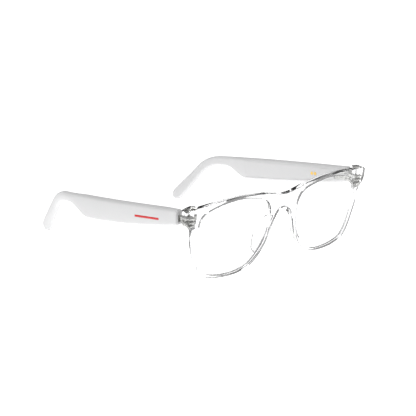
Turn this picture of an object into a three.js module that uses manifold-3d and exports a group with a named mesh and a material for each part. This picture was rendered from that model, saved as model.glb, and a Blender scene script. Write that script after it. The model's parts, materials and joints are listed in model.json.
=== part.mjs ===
// Smart glasses: a clear full-rim front with two lenses, and two thick temples that hold the electronics.
// Millimetres. Each piece is modelled in the wearing pose: +X to the wearer's left, +Y towards the back of
// the head along the straight temples, +Z up, with the origin at the bottom of the rims' front face. The
// finished assembly is then tipped so that the rims and the temple tips stand on z = 0.
import * as THREE from "three";
import { mergeVertices } from "three/addons/utils/BufferGeometryUtils.js";
import Module from "manifold-3d";

const wasm = await Module();
wasm.setup();

// ---- Driving dimensions -----------------------------------------------------------------------------
const GAP = 0.3; // clearance between neighbouring pieces
const OVER = 2; // how far a cut runs past the face that it opens

// Front
const LENS_WIDTH = 52; // visible lens, inside the rim
const LENS_HEIGHT = 44;
const BRIDGE_WIDTH = 22; // between the two visible lenses
const RIM_BOTTOM = 1.6;
const RIM_LIP = 0.7; // rim behind the lens
const BROW_DIP = 2.3; // the brow line's drop at the centre, below the top of the lenses
const BRIDGE_HEIGHT = 8.5;
const END_REACH = 9.6; // end piece, outwards from the visible lens
const END_HEIGHT = 8;
const END_DEPTH = 6.2; // front to back, where the hinge is anchored
const END_DROP = 1.2; // the end piece's top corner, below the top of the visible lens
const END_SKIRT = 4; // height over which the end piece's lower corner fades into the rim
const END_BLOCK_EDGE = 1.5; // from the lens's groove to the deep part of the end piece
const WRAP_RADIUS = 557; // the front's curve, seen from above
const TILT = THREE.MathUtils.degToRad(14.7); // the front's lean, its top forwards

// Lenses and nose pads
const LENS_THICKNESS = 1.9;
const LENS_INSET = 0.8; // the lens face behind the rim's face
const LENS_EDGE = 0.25; // how far the lens reaches into the rim's groove
const PAD_DEPTH = 6;
const PAD_THICKNESS = 2;
const PAD_SPLAY = 0.35; // sideways per unit of depth, towards the lens
const PAD_INSET = 0.1; // from the rim's nasal edge
const PAD_END_DEPTH = 0.35; // depth at the pad's two ends, as a share of its full depth

// Hinges
const KNUCKLE_RADIUS = 1.6;
const KNUCKLE_HEIGHT = 1.5;
const PIN_RADIUS = 0.7;
const PIN_HEAD_RADIUS = 1.2;
const PIN_HEAD_HEIGHT = 0.5;
const HINGE_GAP = 4.2; // between the end piece and the temple's front end
const HINGE_INSET = 5.9; // hinge axis, inwards from the end piece's outer side
const HINGE_DROP = 8.5; // hinge centre, below the top of the visible lens
const ANCHOR_WIDTH = 4.4; // the front leaf's teeth, in the end piece
const ANCHOR_LENGTH = 3.7;
const ANCHOR_INSET = 0.9; // the teeth's inner side, inwards from the hinge axis
const LEAF_PLATE = 0.9;
const PLATE_INNER_EDGE = 0.8; // the leaf's plate beyond its teeth
const PLATE_OUTER_EDGE = 0.3;
const TEETH = 3;
const TOOTH_THICKNESS = 0.7;
const HOUSING_WIDTH = 3.6; // the temple leaf's block, in the slot of the temple's front end
const HOUSING_HEIGHT = 4;
const HOUSING_LENGTH = 8.6;
const HOUSING_INSET = 0.6; // its inner side, inwards from the hinge axis
const HOUSING_SETBACK = 1.1; // behind the knuckles
const LEAF_SCREW_RADIUS = 0.5;
const LEAF_SCREW_HEAD = 0.95;
const LEAF_SCREW_HEAD_HEIGHT = 0.7;
const LEAF_SCREW_COVER = 1.1; // wall left outside the screw's tip

// Temples
const TEMPLE_INSET = 0.9; // the temple's outer side, inwards from the end piece's outer side
const TOP_ABOVE_HINGE = 5.3; // the temple's straight top line, above the hinge centre
const FRONT_END_HEIGHT = 8.8;
const BAY_HEIGHT = 13;
const ARM_HEIGHT = 5.7;
const FRONT_END_THICKNESS = 5;
const ARM_THICKNESS = 4;
const BAY_LENGTH = 81; // from the front end to where the lower edge steps up
const STEP_LENGTH = 19;
const ARM_LENGTH = 4.5; // straight arm between the step and the ear hook
const HOOK_RADIUS = 22;
const HOOK_ANGLE = THREE.MathUtils.degToRad(43);
const HOOK_LENGTH = 24.6; // straight end of the hook, to the middle of its round tip
const TIP_HEIGHT = 7.2;
const SWEEP = 15.2; // how far the temple bends inwards by its end
const SWEEP_POWER = 3.2;
const END_MITRE = THREE.MathUtils.degToRad(8);
const EDGE_RADIUS = 1.5;

// Electronics bay
const OUTER_WALL = 1.4;
const EDGE_WALL = 2; // along the bay's top and lower edges
const COVER_THICKNESS = 1;
const COVER_LEDGE = 0.8; // the step that the cover rests on
const COVER_SPACE = 0.5; // between the battery and the cover, for the battery to swell
const BAY_SPACE = 0.4; // above and below what the pocket holds
const BAY_PITCH = 2; // between one thing in the pocket and the next
const POCKET_START = 11.5; // from the temple's front end
const STRIP_START = 14;
const STRIP_LENGTH = 20.3;
const STRIP_HEIGHT = 1.2;
const STRIP_THICKNESS = 0.6;
const STRIP_DROP = 1; // below the hinge centre
const BOARD_THICKNESS = 0.8;
const BOARD_LENGTH = 30;
const CHIP_THICKNESS = 1;
const CHIP_LENGTH = 5;
const CHIP_HEIGHT = 4;
const MIC_LENGTH = 3;
const MIC_HEIGHT = 2;
const BATTERY_THICKNESS = 3;
const SPEAKER_LENGTH = 9;
const SPEAKER_HEIGHT = 5.6;
const SPEAKER_THICKNESS = 3;
const SPEAKER_BACK = 2.5; // from the speaker to the pocket's back end
const FLEX_THICKNESS = 0.3;
const FLEX_WIDTH = 2;
const CONTACT_RADIUS = 1;
const CONTACT_PITCH = 2.7;
const CONTACT_PLACE = 25; // midway between the contacts, from the temple's front end
const MAGNET_RADIUS = 1.6;
const MAGNET_THICKNESS = 1.3;
const MAGNET_PITCH = 10.4;
const GRILLE_LENGTH = 6.4;
const GRILLE_WIDTH = 1.4;
const GRILLE_THICKNESS = 0.8;
const PORT_RADIUS = 0.45;

// ---- Places that follow from them -------------------------------------------------------------------
const LENS_X = (BRIDGE_WIDTH + LENS_WIDTH) / 2;
const LENS_V = RIM_BOTTOM + LENS_HEIGHT / 2;
const LENS_TOP = RIM_BOTTOM + LENS_HEIGHT;
const RIM_DEPTH = LENS_INSET + LENS_THICKNESS + RIM_LIP; // front to back
const FRONT_HALF = BRIDGE_WIDTH / 2 + LENS_WIDTH + END_REACH;
const HINGE_X = FRONT_HALF - HINGE_INSET;
const HINGE_V = LENS_TOP - HINGE_DROP;
const END_BACK = wrapAt(HINGE_X) + END_DEPTH; // depth of the end piece's back, at the hinge
const HINGE_DEPTH = END_BACK + HINGE_GAP / 2;
const KNUCKLE_PITCH = KNUCKLE_HEIGHT + GAP;
const BARREL_HALF = KNUCKLE_PITCH + KNUCKLE_HEIGHT / 2;
const FRONT_TO_WORN = new THREE.Matrix4().makeRotationX(Math.PI / 2 + TILT);
const HINGE = new THREE.Vector3(HINGE_X, HINGE_V, -HINGE_DEPTH).applyMatrix4(FRONT_TO_WORN);
const TEMPLE_START = HINGE.y + HINGE_GAP / 2;
const TEMPLE_OUTER = FRONT_HALF - TEMPLE_INSET;
const TEMPLE_TOP = HINGE.z + TOP_ABOVE_HINGE;
const BAY_END = TEMPLE_START + BAY_LENGTH;
const STEP_END = BAY_END + STEP_LENGTH;
const HOOK_START = STEP_END + ARM_LENGTH;
const BAY_THICKNESS = OUTER_WALL + GAP + BATTERY_THICKNESS + COVER_SPACE + COVER_THICKNESS;
const TEMPLE_END = HOOK_START + HOOK_RADIUS * Math.sin(HOOK_ANGLE) + HOOK_LENGTH * Math.cos(HOOK_ANGLE);
const POCKET_FROM = TEMPLE_START + POCKET_START;
const POCKET_TO = BAY_END;

// How far the front's curve carries a point back, at x from its middle.
function wrapAt(x) {
  return (x * x) / (2 * WRAP_RADIUS);
}

// ---- Materials --------------------------------------------------------------------------------------
const MATERIALS = {
  clear: { color: 0xf2f4f5, roughness: 0.08, metalness: 0, transparent: true, opacity: 0.35 },
  lens: { color: 0xe9ebec, roughness: 0.03, metalness: 0, transparent: true, opacity: 0.3 },
  shell: { color: 0xdededf, roughness: 0.4, metalness: 0 },
  red: { color: 0xe00505, roughness: 0.35, metalness: 0 },
  gold: { color: 0xe2b63c, roughness: 0.25, metalness: 1 },
  steel: { color: 0xb9bbbd, roughness: 0.3, metalness: 1 },
  board: { color: 0x1d5a38, roughness: 0.5, metalness: 0 },
  chip: { color: 0x1b1b1d, roughness: 0.5, metalness: 0 },
  flex: { color: 0xb87425, roughness: 0.45, metalness: 0 },
  foil: { color: 0xc7cacc, roughness: 0.35, metalness: 0.6 },
  mesh: { color: 0x2a2b2d, roughness: 0.6, metalness: 0.4 },
};

function named(name, geometry, material) {
  const mesh = new THREE.Mesh(geometry, new THREE.MeshStandardMaterial(MATERIALS[material]));
  mesh.name = name;
  return mesh;
}

// ---- Solids -----------------------------------------------------------------------------------------
function solid(geometry) {
  const loose = geometry.index ? geometry.toNonIndexed() : geometry;
  const bare = new THREE.BufferGeometry().setAttribute("position", loose.getAttribute("position"));
  const merged = mergeVertices(bare, 1e-4);
  const vertProperties = merged.getAttribute("position").array;
  return new wasm.Manifold(
    new wasm.Mesh({ numProp: 3, vertProperties, triVerts: new Uint32Array(merged.index.array) }),
  );
}

function geometryOf(made) {
  const mesh = made.getMesh();
  const geometry = new THREE.BufferGeometry();
  geometry.setAttribute("position", new THREE.BufferAttribute(mesh.vertProperties, 3));
  geometry.setIndex(new THREE.BufferAttribute(mesh.triVerts, 1));
  return geometry;
}

function join(first, ...others) {
  return geometryOf(others.reduce((all, next) => all.add(solid(next)), solid(first)));
}

function cut(base, ...tools) {
  return geometryOf(tools.reduce((left, tool) => left.subtract(solid(tool)), solid(base)));
}

// A closed solid through rings of equal point counts, with a fan over each end.
function loft(rings) {
  const count = rings[0].length;
  const points = rings.flat();
  const index = [];
  for (let i = 0; i + 1 < rings.length; i++) {
    for (let j = 0; j < count; j++) {
      const a = i * count + j;
      const b = i * count + ((j + 1) % count);
      index.push(a, b, b + count, a, b + count, a + count);
    }
  }
  for (const [ring, order] of [[0, -1], [rings.length - 1, 1]]) {
    const middle = rings[ring].reduce((sum, p) => sum.add(p), new THREE.Vector3()).divideScalar(count);
    points.push(middle);
    for (let j = 0; j < count; j++) {
      const a = ring * count + j;
      const b = ring * count + ((j + 1) % count);
      index.push(points.length - 1, ...(order > 0 ? [a, b] : [b, a]));
    }
  }
  const geometry = new THREE.BufferGeometry().setFromPoints(points);
  geometry.setIndex(facingOut(points, index));
  return geometry;
}

// The triangles in the order that makes their enclosed volume positive.
function facingOut(points, index) {
  let volume = 0;
  for (let i = 0; i < index.length; i += 3) {
    const [a, b, c] = [points[index[i]], points[index[i + 1]], points[index[i + 2]]];
    volume += a.dot(new THREE.Vector3().crossVectors(b, c));
  }
  return volume > 0 ? index : index.reverse();
}

// A box between two values along each axis.
function block(x, y, z) {
  const spans = [x, y, z];
  const box = new THREE.BoxGeometry(...spans.map(([from, to]) => Math.abs(to - from)));
  return box.translate(...spans.map(([from, to]) => (from + to) / 2));
}

// A closed smooth curve through anchors, as points.
function smooth(anchors, perSpan) {
  const curve = new THREE.CatmullRomCurve3(
    anchors.map(([x, y]) => new THREE.Vector3(x, y, 0)),
    true,
    "centripetal",
  );
  return curve.getPoints(anchors.length * perSpan).slice(0, -1);
}

// ---- Outlines of the front, in its own plane: x sideways, v up ---------------------------------------
// The lens, as shares of its half width and half height, with the rim's width there where the rim
// follows the lens. It runs from the nasal end of the brow over the top and down the outer side.
const LENS_SHAPE = [
  { at: [-0.73, 0.88] },
  { at: [-0.46, 0.95], rim: 2.2 },
  { at: [-0.15, 0.998], rim: 1.8 },
  { at: [0.15, 0.99], rim: 1.8 },
  { at: [0.4, 0.95], rim: 2.4 },
  { at: [0.65, 0.87] },
  { at: [0.86, 0.77] },
  { at: [0.97, 0.62] },
  { at: [1, 0.32], rim: 4.6 },
  { at: [0.995, 0.07], rim: 4.2 },
  { at: [0.94, -0.34], rim: 3 },
  { at: [0.86, -0.65], rim: 2.4 },
  { at: [0.72, -0.86], rim: 2.1 },
  { at: [0.46, -0.96], rim: 1.8 },
  { at: [0.12, -1], rim: RIM_BOTTOM },
  { at: [-0.18, -0.98], rim: RIM_BOTTOM },
  { at: [-0.47, -0.86], rim: 2.2 },
  { at: [-0.7, -0.62], rim: 2.4 },
  { at: [-0.9, -0.3], rim: 1.9 },
  { at: [-0.98, 0.02], rim: 2.5 },
  { at: [-1, 0.26] },
  { at: [-0.99, 0.54] },
  { at: [-0.9, 0.76] },
];

function lensPoint([u, w]) {
  return [(u * LENS_WIDTH) / 2, (w * LENS_HEIGHT) / 2];
}

// The lens outline about its own middle, grown by an even amount.
function lensOutline(growth) {
  const wide = 1 + (2 * growth) / LENS_WIDTH;
  const high = 1 + (2 * growth) / LENS_HEIGHT;
  return smooth(LENS_SHAPE.map(({ at }) => lensPoint(at)), 3).map(
    (p) => new THREE.Vector2(p.x * wide, p.y * high),
  );
}

// The rim's outer edge beside each lens anchor: outwards, square to the line through its neighbours.
function rimAnchors() {
  return LENS_SHAPE.map(({ at, rim }, i) => {
    if (!rim) return null;
    const before = lensPoint(LENS_SHAPE.at(i - 1).at);
    const after = lensPoint(LENS_SHAPE[(i + 1) % LENS_SHAPE.length].at);
    const along = new THREE.Vector2(after[0] - before[0], after[1] - before[1]).normalize();
    const [x, v] = lensPoint(at);
    return [LENS_X + x - along.y * rim, LENS_V + v + along.x * rim];
  });
}

const RIM_ANCHORS = rimAnchors();
const END_TOP = LENS_TOP - END_DROP;
const END_LOW = END_TOP - END_HEIGHT;
const ARCH_TOP = LENS_TOP - BROW_DIP - BRIDGE_HEIGHT;
const BRIDGE_SHOULDER = [0.28 * BRIDGE_WIDTH, ARCH_TOP - 4.4];

// One half of the front's outer outline, from the middle of the brow round to the top of the nose arch.
function halfOutline() {
  const brow = [
    [0, LENS_TOP - BROW_DIP],
    [0.36 * BRIDGE_WIDTH, LENS_TOP - 0.55 * BROW_DIP],
    [0.68 * BRIDGE_WIDTH, LENS_TOP + 0.2],
  ];
  const endPiece = [
    [FRONT_HALF - END_REACH - 2, LENS_TOP + 0.2],
    [FRONT_HALF - 1, END_TOP],
    [FRONT_HALF, END_TOP - 0.9],
    [FRONT_HALF, END_LOW + 2.4],
    [FRONT_HALF - 0.9, END_LOW - 0.3],
    [FRONT_HALF - 3, END_LOW - 1.9],
    [FRONT_HALF - 4.2, END_LOW - 3.7],
  ];
  const arch = [BRIDGE_SHOULDER, [0.17 * BRIDGE_WIDTH, ARCH_TOP - 1.2], [0, ARCH_TOP]];
  const upper = RIM_ANCHORS.slice(0, 6).filter(Boolean);
  const round = RIM_ANCHORS.slice(6).filter(Boolean);
  return [...brow, ...upper, ...endPiece, ...round, ...arch];
}

function frontOutline() {
  const half = halfOutline();
  const mirrored = half
    .slice(1, -1)
    .reverse()
    .map(([x, v]) => [-x, v]);
  return smooth([...half, ...mirrored], 3).map((p) => new THREE.Vector2(p.x, p.y));
}

// Carries a flat geometry of the front onto its curve.
function wrapped(geometry) {
  const position = geometry.getAttribute("position");
  for (let i = 0; i < position.count; i++) {
    position.setZ(i, position.getZ(i) - wrapAt(position.getX(i)));
  }
  return geometry;
}

// A flat plate of an outline, between two depths behind the rims' face.
function plate(outline, near, far) {
  const shape = new THREE.Shape(outline);
  const flat = new THREE.ExtrudeGeometry(shape, { depth: far - near, bevelEnabled: false });
  return flat.translate(0, 0, -far);
}

// A dished disc between two depths, of rings that shrink towards its middle, on the front's curve.
function disc(outline, side, from, to) {
  const scales = [1, 0.66, 0.33];
  const ring = (scale, depth) =>
    outline.map((p) => {
      const x = side * LENS_X + p.x * scale;
      return new THREE.Vector3(x, LENS_V + p.y * scale, -depth - wrapAt(x));
    });
  const face = scales.map((scale) => ring(scale, from)).reverse();
  const back = scales.map((scale) => ring(scale, to));
  return loft([...face, ...back]);
}

// ---- The front --------------------------------------------------------------------------------------
function sided(outline, side) {
  const points = outline.map((p) => new THREE.Vector2(side * p.x, p.y));
  return side > 0 ? points : points.reverse();
}

// The front before it is curved: the rims and bridge, with a deeper block at each end piece.
function flatFrame() {
  const outline = frontOutline();
  const deep = solid(plate(outline, 0, END_DEPTH));
  const blockFrom = FRONT_HALF - END_REACH + LENS_EDGE + GAP + END_BLOCK_EDGE;
  let frame = solid(plate(outline, 0, RIM_DEPTH));
  for (const side of [-1, 1]) {
    const opening = sided(lensOutline(0), side).map(
      (p) => new THREE.Vector2(p.x + side * LENS_X, p.y + LENS_V),
    );
    const region = block(
      [side * blockFrom, side * 2 * FRONT_HALF],
      [END_LOW - END_SKIRT, 2 * LENS_TOP],
      [-2 * END_DEPTH, END_DEPTH],
    );
    frame = frame.subtract(solid(plate(opening, -1, RIM_DEPTH + 1))).add(deep.intersect(solid(region)));
  }
  return frame;
}

// Carries a flat solid of the front onto its curve, in upright slices narrow enough to follow it.
function curved(flat) {
  const slices = 17;
  const width = (2 * FRONT_HALF + 2) / slices;
  const bent = Array.from({ length: slices }, (_, i) => {
    const from = (i - slices / 2) * width;
    const slice = solid(block([from, from + width], [-LENS_TOP, 2 * LENS_TOP], [-40, 40]));
    return solid(wrapped(geometryOf(flat.intersect(slice))));
  });
  return bent.reduce((all, next) => all.add(next));
}

function frontFrame() {
  let frame = curved(flatFrame());
  for (const side of [-1, 1]) {
    const groove = disc(
      sided(lensOutline(LENS_EDGE + GAP), side),
      side,
      LENS_INSET - GAP,
      LENS_INSET + LENS_THICKNESS + GAP,
    );
    frame = frame.subtract(solid(groove));
    for (const pocket of anchorPockets(side)) frame = frame.subtract(solid(pocket));
  }
  return geometryOf(frame);
}

function lens(side) {
  return disc(sided(lensOutline(LENS_EDGE), side), side, LENS_INSET, LENS_INSET + LENS_THICKNESS);
}

// A fin behind the nasal rim, deepest at its middle.
function nosePad(side) {
  const nasal = RIM_ANCHORS.slice(17, 20).reverse();
  const path = new THREE.CatmullRomCurve3(
    [BRIDGE_SHOULDER, ...nasal].map(([x, v]) => new THREE.Vector3(x, v, 0)),
  );
  const stations = 10;
  const rings = [];
  for (let i = 0; i <= stations; i++) {
    const t = i / stations;
    const place = path.getPointAt(t);
    const along = path.getTangentAt(t);
    const inwards = new THREE.Vector2(-along.y, along.x); // from the nose towards the lens
    const depth = PAD_DEPTH * (PAD_END_DEPTH + (1 - PAD_END_DEPTH) * Math.sin(Math.PI * t));
    const near = PAD_INSET;
    const far = PAD_INSET + PAD_THICKNESS;
    const lean = PAD_SPLAY * depth;
    const section = [
      [near, 0],
      [far, 0],
      [far + lean, 0.8 * depth],
      [(near + far) / 2 + lean, depth],
      [near + lean, 0.8 * depth],
    ];
    rings.push(
      section.map(([across, back]) => {
        const x = place.x + inwards.x * across;
        return new THREE.Vector3(
          side * x,
          place.y + inwards.y * across,
          -RIM_DEPTH - GAP - back - wrapAt(x),
        );
      }),
    );
  }
  return loft(rings);
}

// ---- Hinges -----------------------------------------------------------------------------------------
function knuckle(level, side, radius = KNUCKLE_RADIUS, height = KNUCKLE_HEIGHT) {
  const barrel = new THREE.CylinderGeometry(radius, radius, height, 20);
  return barrel.translate(side * HINGE_X, HINGE_V + level * KNUCKLE_PITCH, -HINGE_DEPTH);
}

function pinHole(side) {
  return knuckle(0, side, PIN_RADIUS + GAP, 4 * BARREL_HALF);
}

function anchorSpan(side, extra) {
  const inner = HINGE_X - ANCHOR_INSET - extra;
  const outer = HINGE_X - ANCHOR_INSET + ANCHOR_WIDTH + extra;
  return [side * inner, side * outer];
}

function plateSpan(side, extra) {
  const [inner, outer] = anchorSpan(1, extra);
  return [side * (inner - PLATE_INNER_EDGE), side * (outer + PLATE_OUTER_EDGE)];
}

// The recess in the end piece's back for the leaf's plate, and the deeper one for its teeth.
function anchorPockets(side) {
  const high = [HINGE_V - BARREL_HALF - GAP, HINGE_V + BARREL_HALF + GAP];
  const shallow = END_BACK - LEAF_PLATE - GAP;
  const deep = END_BACK - LEAF_PLATE - ANCHOR_LENGTH - GAP;
  return [
    block(plateSpan(side, GAP), high, [-HINGE_DEPTH, -shallow]),
    block(anchorSpan(side, GAP), high, [-HINGE_DEPTH, -deep]),
  ];
}

function frontLeaf(side) {
  const high = [HINGE_V - BARREL_HALF, HINGE_V + BARREL_HALF];
  const parts = [block(plateSpan(side, 0), high, [-END_BACK, LEAF_PLATE - END_BACK])];
  const toothPitch = (2 * BARREL_HALF - TOOTH_THICKNESS) / (TEETH - 1);
  for (let i = 0; i < TEETH; i++) {
    const low = HINGE_V - BARREL_HALF + i * toothPitch;
    const back = LEAF_PLATE / 2 - END_BACK;
    const tip = LEAF_PLATE + ANCHOR_LENGTH - END_BACK;
    parts.push(block(anchorSpan(side, 0), [low, low + TOOTH_THICKNESS], [back, tip]));
  }
  for (const level of [-1, 1]) {
    const middle = HINGE_V + level * KNUCKLE_PITCH;
    const height = [middle - KNUCKLE_HEIGHT / 2, middle + KNUCKLE_HEIGHT / 2];
    const width = [side * (HINGE_X - KNUCKLE_RADIUS), side * (HINGE_X + KNUCKLE_RADIUS)];
    parts.push(block(width, height, [-HINGE_DEPTH, LEAF_PLATE / 2 - END_BACK]));
    parts.push(knuckle(level, side));
  }
  return cut(join(...parts), pinHole(side));
}

function hingeScrew(side) {
  const shank = knuckle(0, side, PIN_RADIUS, 2 * BARREL_HALF + GAP);
  const head = new THREE.CylinderGeometry(PIN_HEAD_RADIUS, PIN_HEAD_RADIUS, PIN_HEAD_HEIGHT, 20);
  const headAt = HINGE_V + BARREL_HALF + GAP + PIN_HEAD_HEIGHT / 2;
  head.translate(side * HINGE_X, headAt, -HINGE_DEPTH);
  const neck = new THREE.CylinderGeometry(PIN_RADIUS, PIN_RADIUS, 2 * GAP, 20);
  neck.translate(side * HINGE_X, HINGE_V + BARREL_HALF + GAP, -HINGE_DEPTH);
  return join(shank, neck, head);
}

// ---- Temple: its surfaces as functions of the distance back, y -----------------------------------------
function ease(t) {
  const s = THREE.MathUtils.clamp(t, 0, 1);
  return s * s * (3 - 2 * s);
}

function outerX(y) {
  return TEMPLE_OUTER - SWEEP * Math.pow(Math.max(y, 0) / TEMPLE_END, SWEEP_POWER);
}

function bottomZ(y) {
  const rise = Math.pow(THREE.MathUtils.clamp((BAY_END - y) / BAY_LENGTH, 0, 1), 2);
  const bay = TEMPLE_TOP - BAY_HEIGHT + (BAY_HEIGHT - FRONT_END_HEIGHT) * rise;
  return bay + (TEMPLE_TOP - ARM_HEIGHT - bay) * ease((y - BAY_END) / STEP_LENGTH);
}

function thicknessAt(y) {
  const swell = ease((y - TEMPLE_START) / POCKET_START);
  const slim = ease((y - BAY_END) / STEP_LENGTH);
  const bay = FRONT_END_THICKNESS + (BAY_THICKNESS - FRONT_END_THICKNESS) * swell;
  return bay + (ARM_THICKNESS - bay) * slim;
}

// A rectangle with rounded corners, as points about its middle: across the thickness, then up.
function roundedSection(thickness, height, radius) {
  const points = [];
  const corner = Math.min(radius, 0.45 * thickness, 0.45 * height);
  for (const [sx, sz, start] of [[1, 1, 0], [-1, 1, 1], [-1, -1, 2], [1, -1, 3]]) {
    for (const step of [0, 0.5, 1]) {
      const angle = ((start + step) * Math.PI) / 2;
      points.push([
        sx * (thickness / 2 - corner) + corner * Math.cos(angle),
        sz * (height / 2 - corner) + corner * Math.sin(angle),
      ]);
    }
  }
  return points;
}

function straightRing(y) {
  const [top, bottom] = [TEMPLE_TOP, bottomZ(y)];
  const thickness = thicknessAt(y);
  const lean = Math.tan(END_MITRE) * Math.max(0, 1 - (y - TEMPLE_START) / POCKET_START);
  return roundedSection(thickness, top - bottom, EDGE_RADIUS).map(
    ([across, up]) =>
      new THREE.Vector3(outerX(y) - thickness / 2 + across, y - lean * up, (top + bottom) / 2 + up),
  );
}

// A ring square to the hook's middle line, where that line heads down by an angle.
function hookRing(y, z, heading, height, thickness) {
  return roundedSection(thickness, height, EDGE_RADIUS).map(
    ([across, up]) =>
      new THREE.Vector3(
        outerX(y) - ARM_THICKNESS / 2 + across,
        y + up * Math.sin(heading),
        z + up * Math.cos(heading),
      ),
  );
}

function hookRings() {
  const rings = [];
  const middle = TEMPLE_TOP - ARM_HEIGHT / 2;
  const bends = 6;
  for (let i = 1; i <= bends; i++) {
    const angle = (HOOK_ANGLE * i) / bends;
    const y = HOOK_START + HOOK_RADIUS * Math.sin(angle);
    const z = middle - HOOK_RADIUS * (1 - Math.cos(angle));
    rings.push(hookRing(y, z, angle, ARM_HEIGHT, ARM_THICKNESS));
  }
  const from = [
    HOOK_START + HOOK_RADIUS * Math.sin(HOOK_ANGLE),
    middle - HOOK_RADIUS * (1 - Math.cos(HOOK_ANGLE)),
  ];
  const along = (s) => [from[0] + s * Math.cos(HOOK_ANGLE), from[1] - s * Math.sin(HOOK_ANGLE)];
  for (const share of [0.25, 0.5, 0.75, 1]) {
    const height = ARM_HEIGHT + (TIP_HEIGHT - ARM_HEIGHT) * ease(share);
    rings.push(hookRing(...along(share * HOOK_LENGTH), HOOK_ANGLE, height, ARM_THICKNESS));
  }
  for (const turn of [0.3, 0.6, 0.85]) {
    const angle = (turn * Math.PI) / 2;
    const place = along(HOOK_LENGTH + (TIP_HEIGHT / 2) * Math.sin(angle));
    const slim = ARM_THICKNESS * (0.55 + 0.45 * Math.cos(angle));
    rings.push(hookRing(...place, HOOK_ANGLE, TIP_HEIGHT * Math.cos(angle), slim));
  }
  return rings;
}

function templeBody() {
  const rings = [];
  const bayStations = 10;
  for (let i = 0; i < bayStations; i++) {
    rings.push(straightRing(TEMPLE_START + (BAY_LENGTH * i) / bayStations));
  }
  const stepStations = 7;
  for (let i = 0; i <= stepStations; i++) {
    rings.push(straightRing(BAY_END + (STEP_LENGTH * i) / stepStations));
  }
  rings.push(straightRing(HOOK_START));
  return loft([...rings, ...hookRings()]);
}

// A bar inside the temple that follows its bend: between two distances back, two depths from the outer
// side and two heights. Depths and heights may be functions of the distance back.
function bayBar(from, to, depths, heights, pieces = 1) {
  const value = (v, y) => (typeof v === "function" ? v(y) : v);
  const rings = [];
  for (let i = 0; i <= pieces; i++) {
    const y = from + ((to - from) * i) / pieces;
    const [near, far] = depths.map((d) => outerX(y) - value(d, y));
    const [low, high] = heights.map((h) => value(h, y));
    rings.push([
      new THREE.Vector3(near, y, low),
      new THREE.Vector3(near, y, high),
      new THREE.Vector3(far, y, high),
      new THREE.Vector3(far, y, low),
    ]);
  }
  return loft(rings);
}

// A round piece across the temple's thickness, between two depths from its outer side at y.
function bayButton(y, z, radius, near, far, sides = 16) {
  const round = new THREE.CylinderGeometry(radius, radius, far - near, sides).rotateZ(Math.PI / 2);
  return round.translate(outerX(y) - (near + far) / 2, y, z);
}

const BAY_PIECES = 10;
const COVER_DEPTH = (y) => thicknessAt(y) - COVER_THICKNESS; // the cover's inner side
const LEDGE_DEPTH = (y) => COVER_DEPTH(y) - GAP;
const OPEN_DEPTH = (y) => thicknessAt(y) + OVER;
const POCKET_LOW = (y) => bottomZ(y) + EDGE_WALL;
const POCKET_HIGH = TEMPLE_TOP - EDGE_WALL;
const COVER_LOW = (y) => POCKET_LOW(y) - COVER_LEDGE + GAP;
const COVER_HIGH = POCKET_HIGH + COVER_LEDGE - GAP;

const BOARD_NEAR = OUTER_WALL + 3 * GAP;
const BOARD_FAR = BOARD_NEAR + BOARD_THICKNESS;
const CHIP_NEAR = BOARD_FAR + GAP;
const BOARD_FROM = POCKET_FROM + BAY_PITCH / 2;
const BOARD_TO = BOARD_FROM + BOARD_LENGTH;
const SPEAKER_TO = POCKET_TO - SPEAKER_BACK;
const SPEAKER_FROM = SPEAKER_TO - SPEAKER_LENGTH;
const BATTERY_FROM = BOARD_TO + BAY_PITCH;
const BATTERY_TO = SPEAKER_FROM - BAY_PITCH;
const CONTACT_Y = TEMPLE_START + CONTACT_PLACE;
const CONTACT_Z = HINGE.z - 0.2;
const STRIP_FROM = TEMPLE_START + STRIP_START;
const STRIP_Z = HINGE.z - STRIP_DROP;
const FLEX_LOW = POCKET_HIGH - GAP - FLEX_THICKNESS;
const GRILLE_MIDDLE = (SPEAKER_FROM + SPEAKER_TO) / 2;
const MIC_Y = BOARD_FROM + MIC_LENGTH;
const BOARD_HEIGHTS = [POCKET_LOW(BOARD_FROM) + BAY_SPACE, POCKET_HIGH - BAY_SPACE];
const BATTERY_HEIGHTS = [POCKET_LOW(BATTERY_FROM) + BAY_SPACE, FLEX_LOW - BAY_SPACE];

// Two heights about the middle of a space, given by its own two heights.
function centred([low, high], height) {
  const middle = (low + high) / 2;
  return [middle - height / 2, middle + height / 2];
}

// The temple leaf's block lies in a slot that is open at the temple's front end and on its inner side.
const HOUSING_INNER = HINGE_X - HOUSING_INSET;
const HOUSING_OUTER = HOUSING_INNER + HOUSING_WIDTH;
const HOUSING_FROM = HINGE.y + KNUCKLE_RADIUS + HOUSING_SETBACK;
const HOUSING_TO = HOUSING_FROM + HOUSING_LENGTH;
const LEAF_SCREWS = [0.4, 0.8].map((share) => HOUSING_FROM + share * HOUSING_LENGTH);
const SCREW_END = TEMPLE_OUTER - LEAF_SCREW_COVER;

function alongX(radius, from, to, y, z, sides = 14) {
  const round = new THREE.CylinderGeometry(radius, radius, Math.abs(to - from), sides);
  return round.rotateZ(Math.PI / 2).translate((from + to) / 2, y, z);
}

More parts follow.
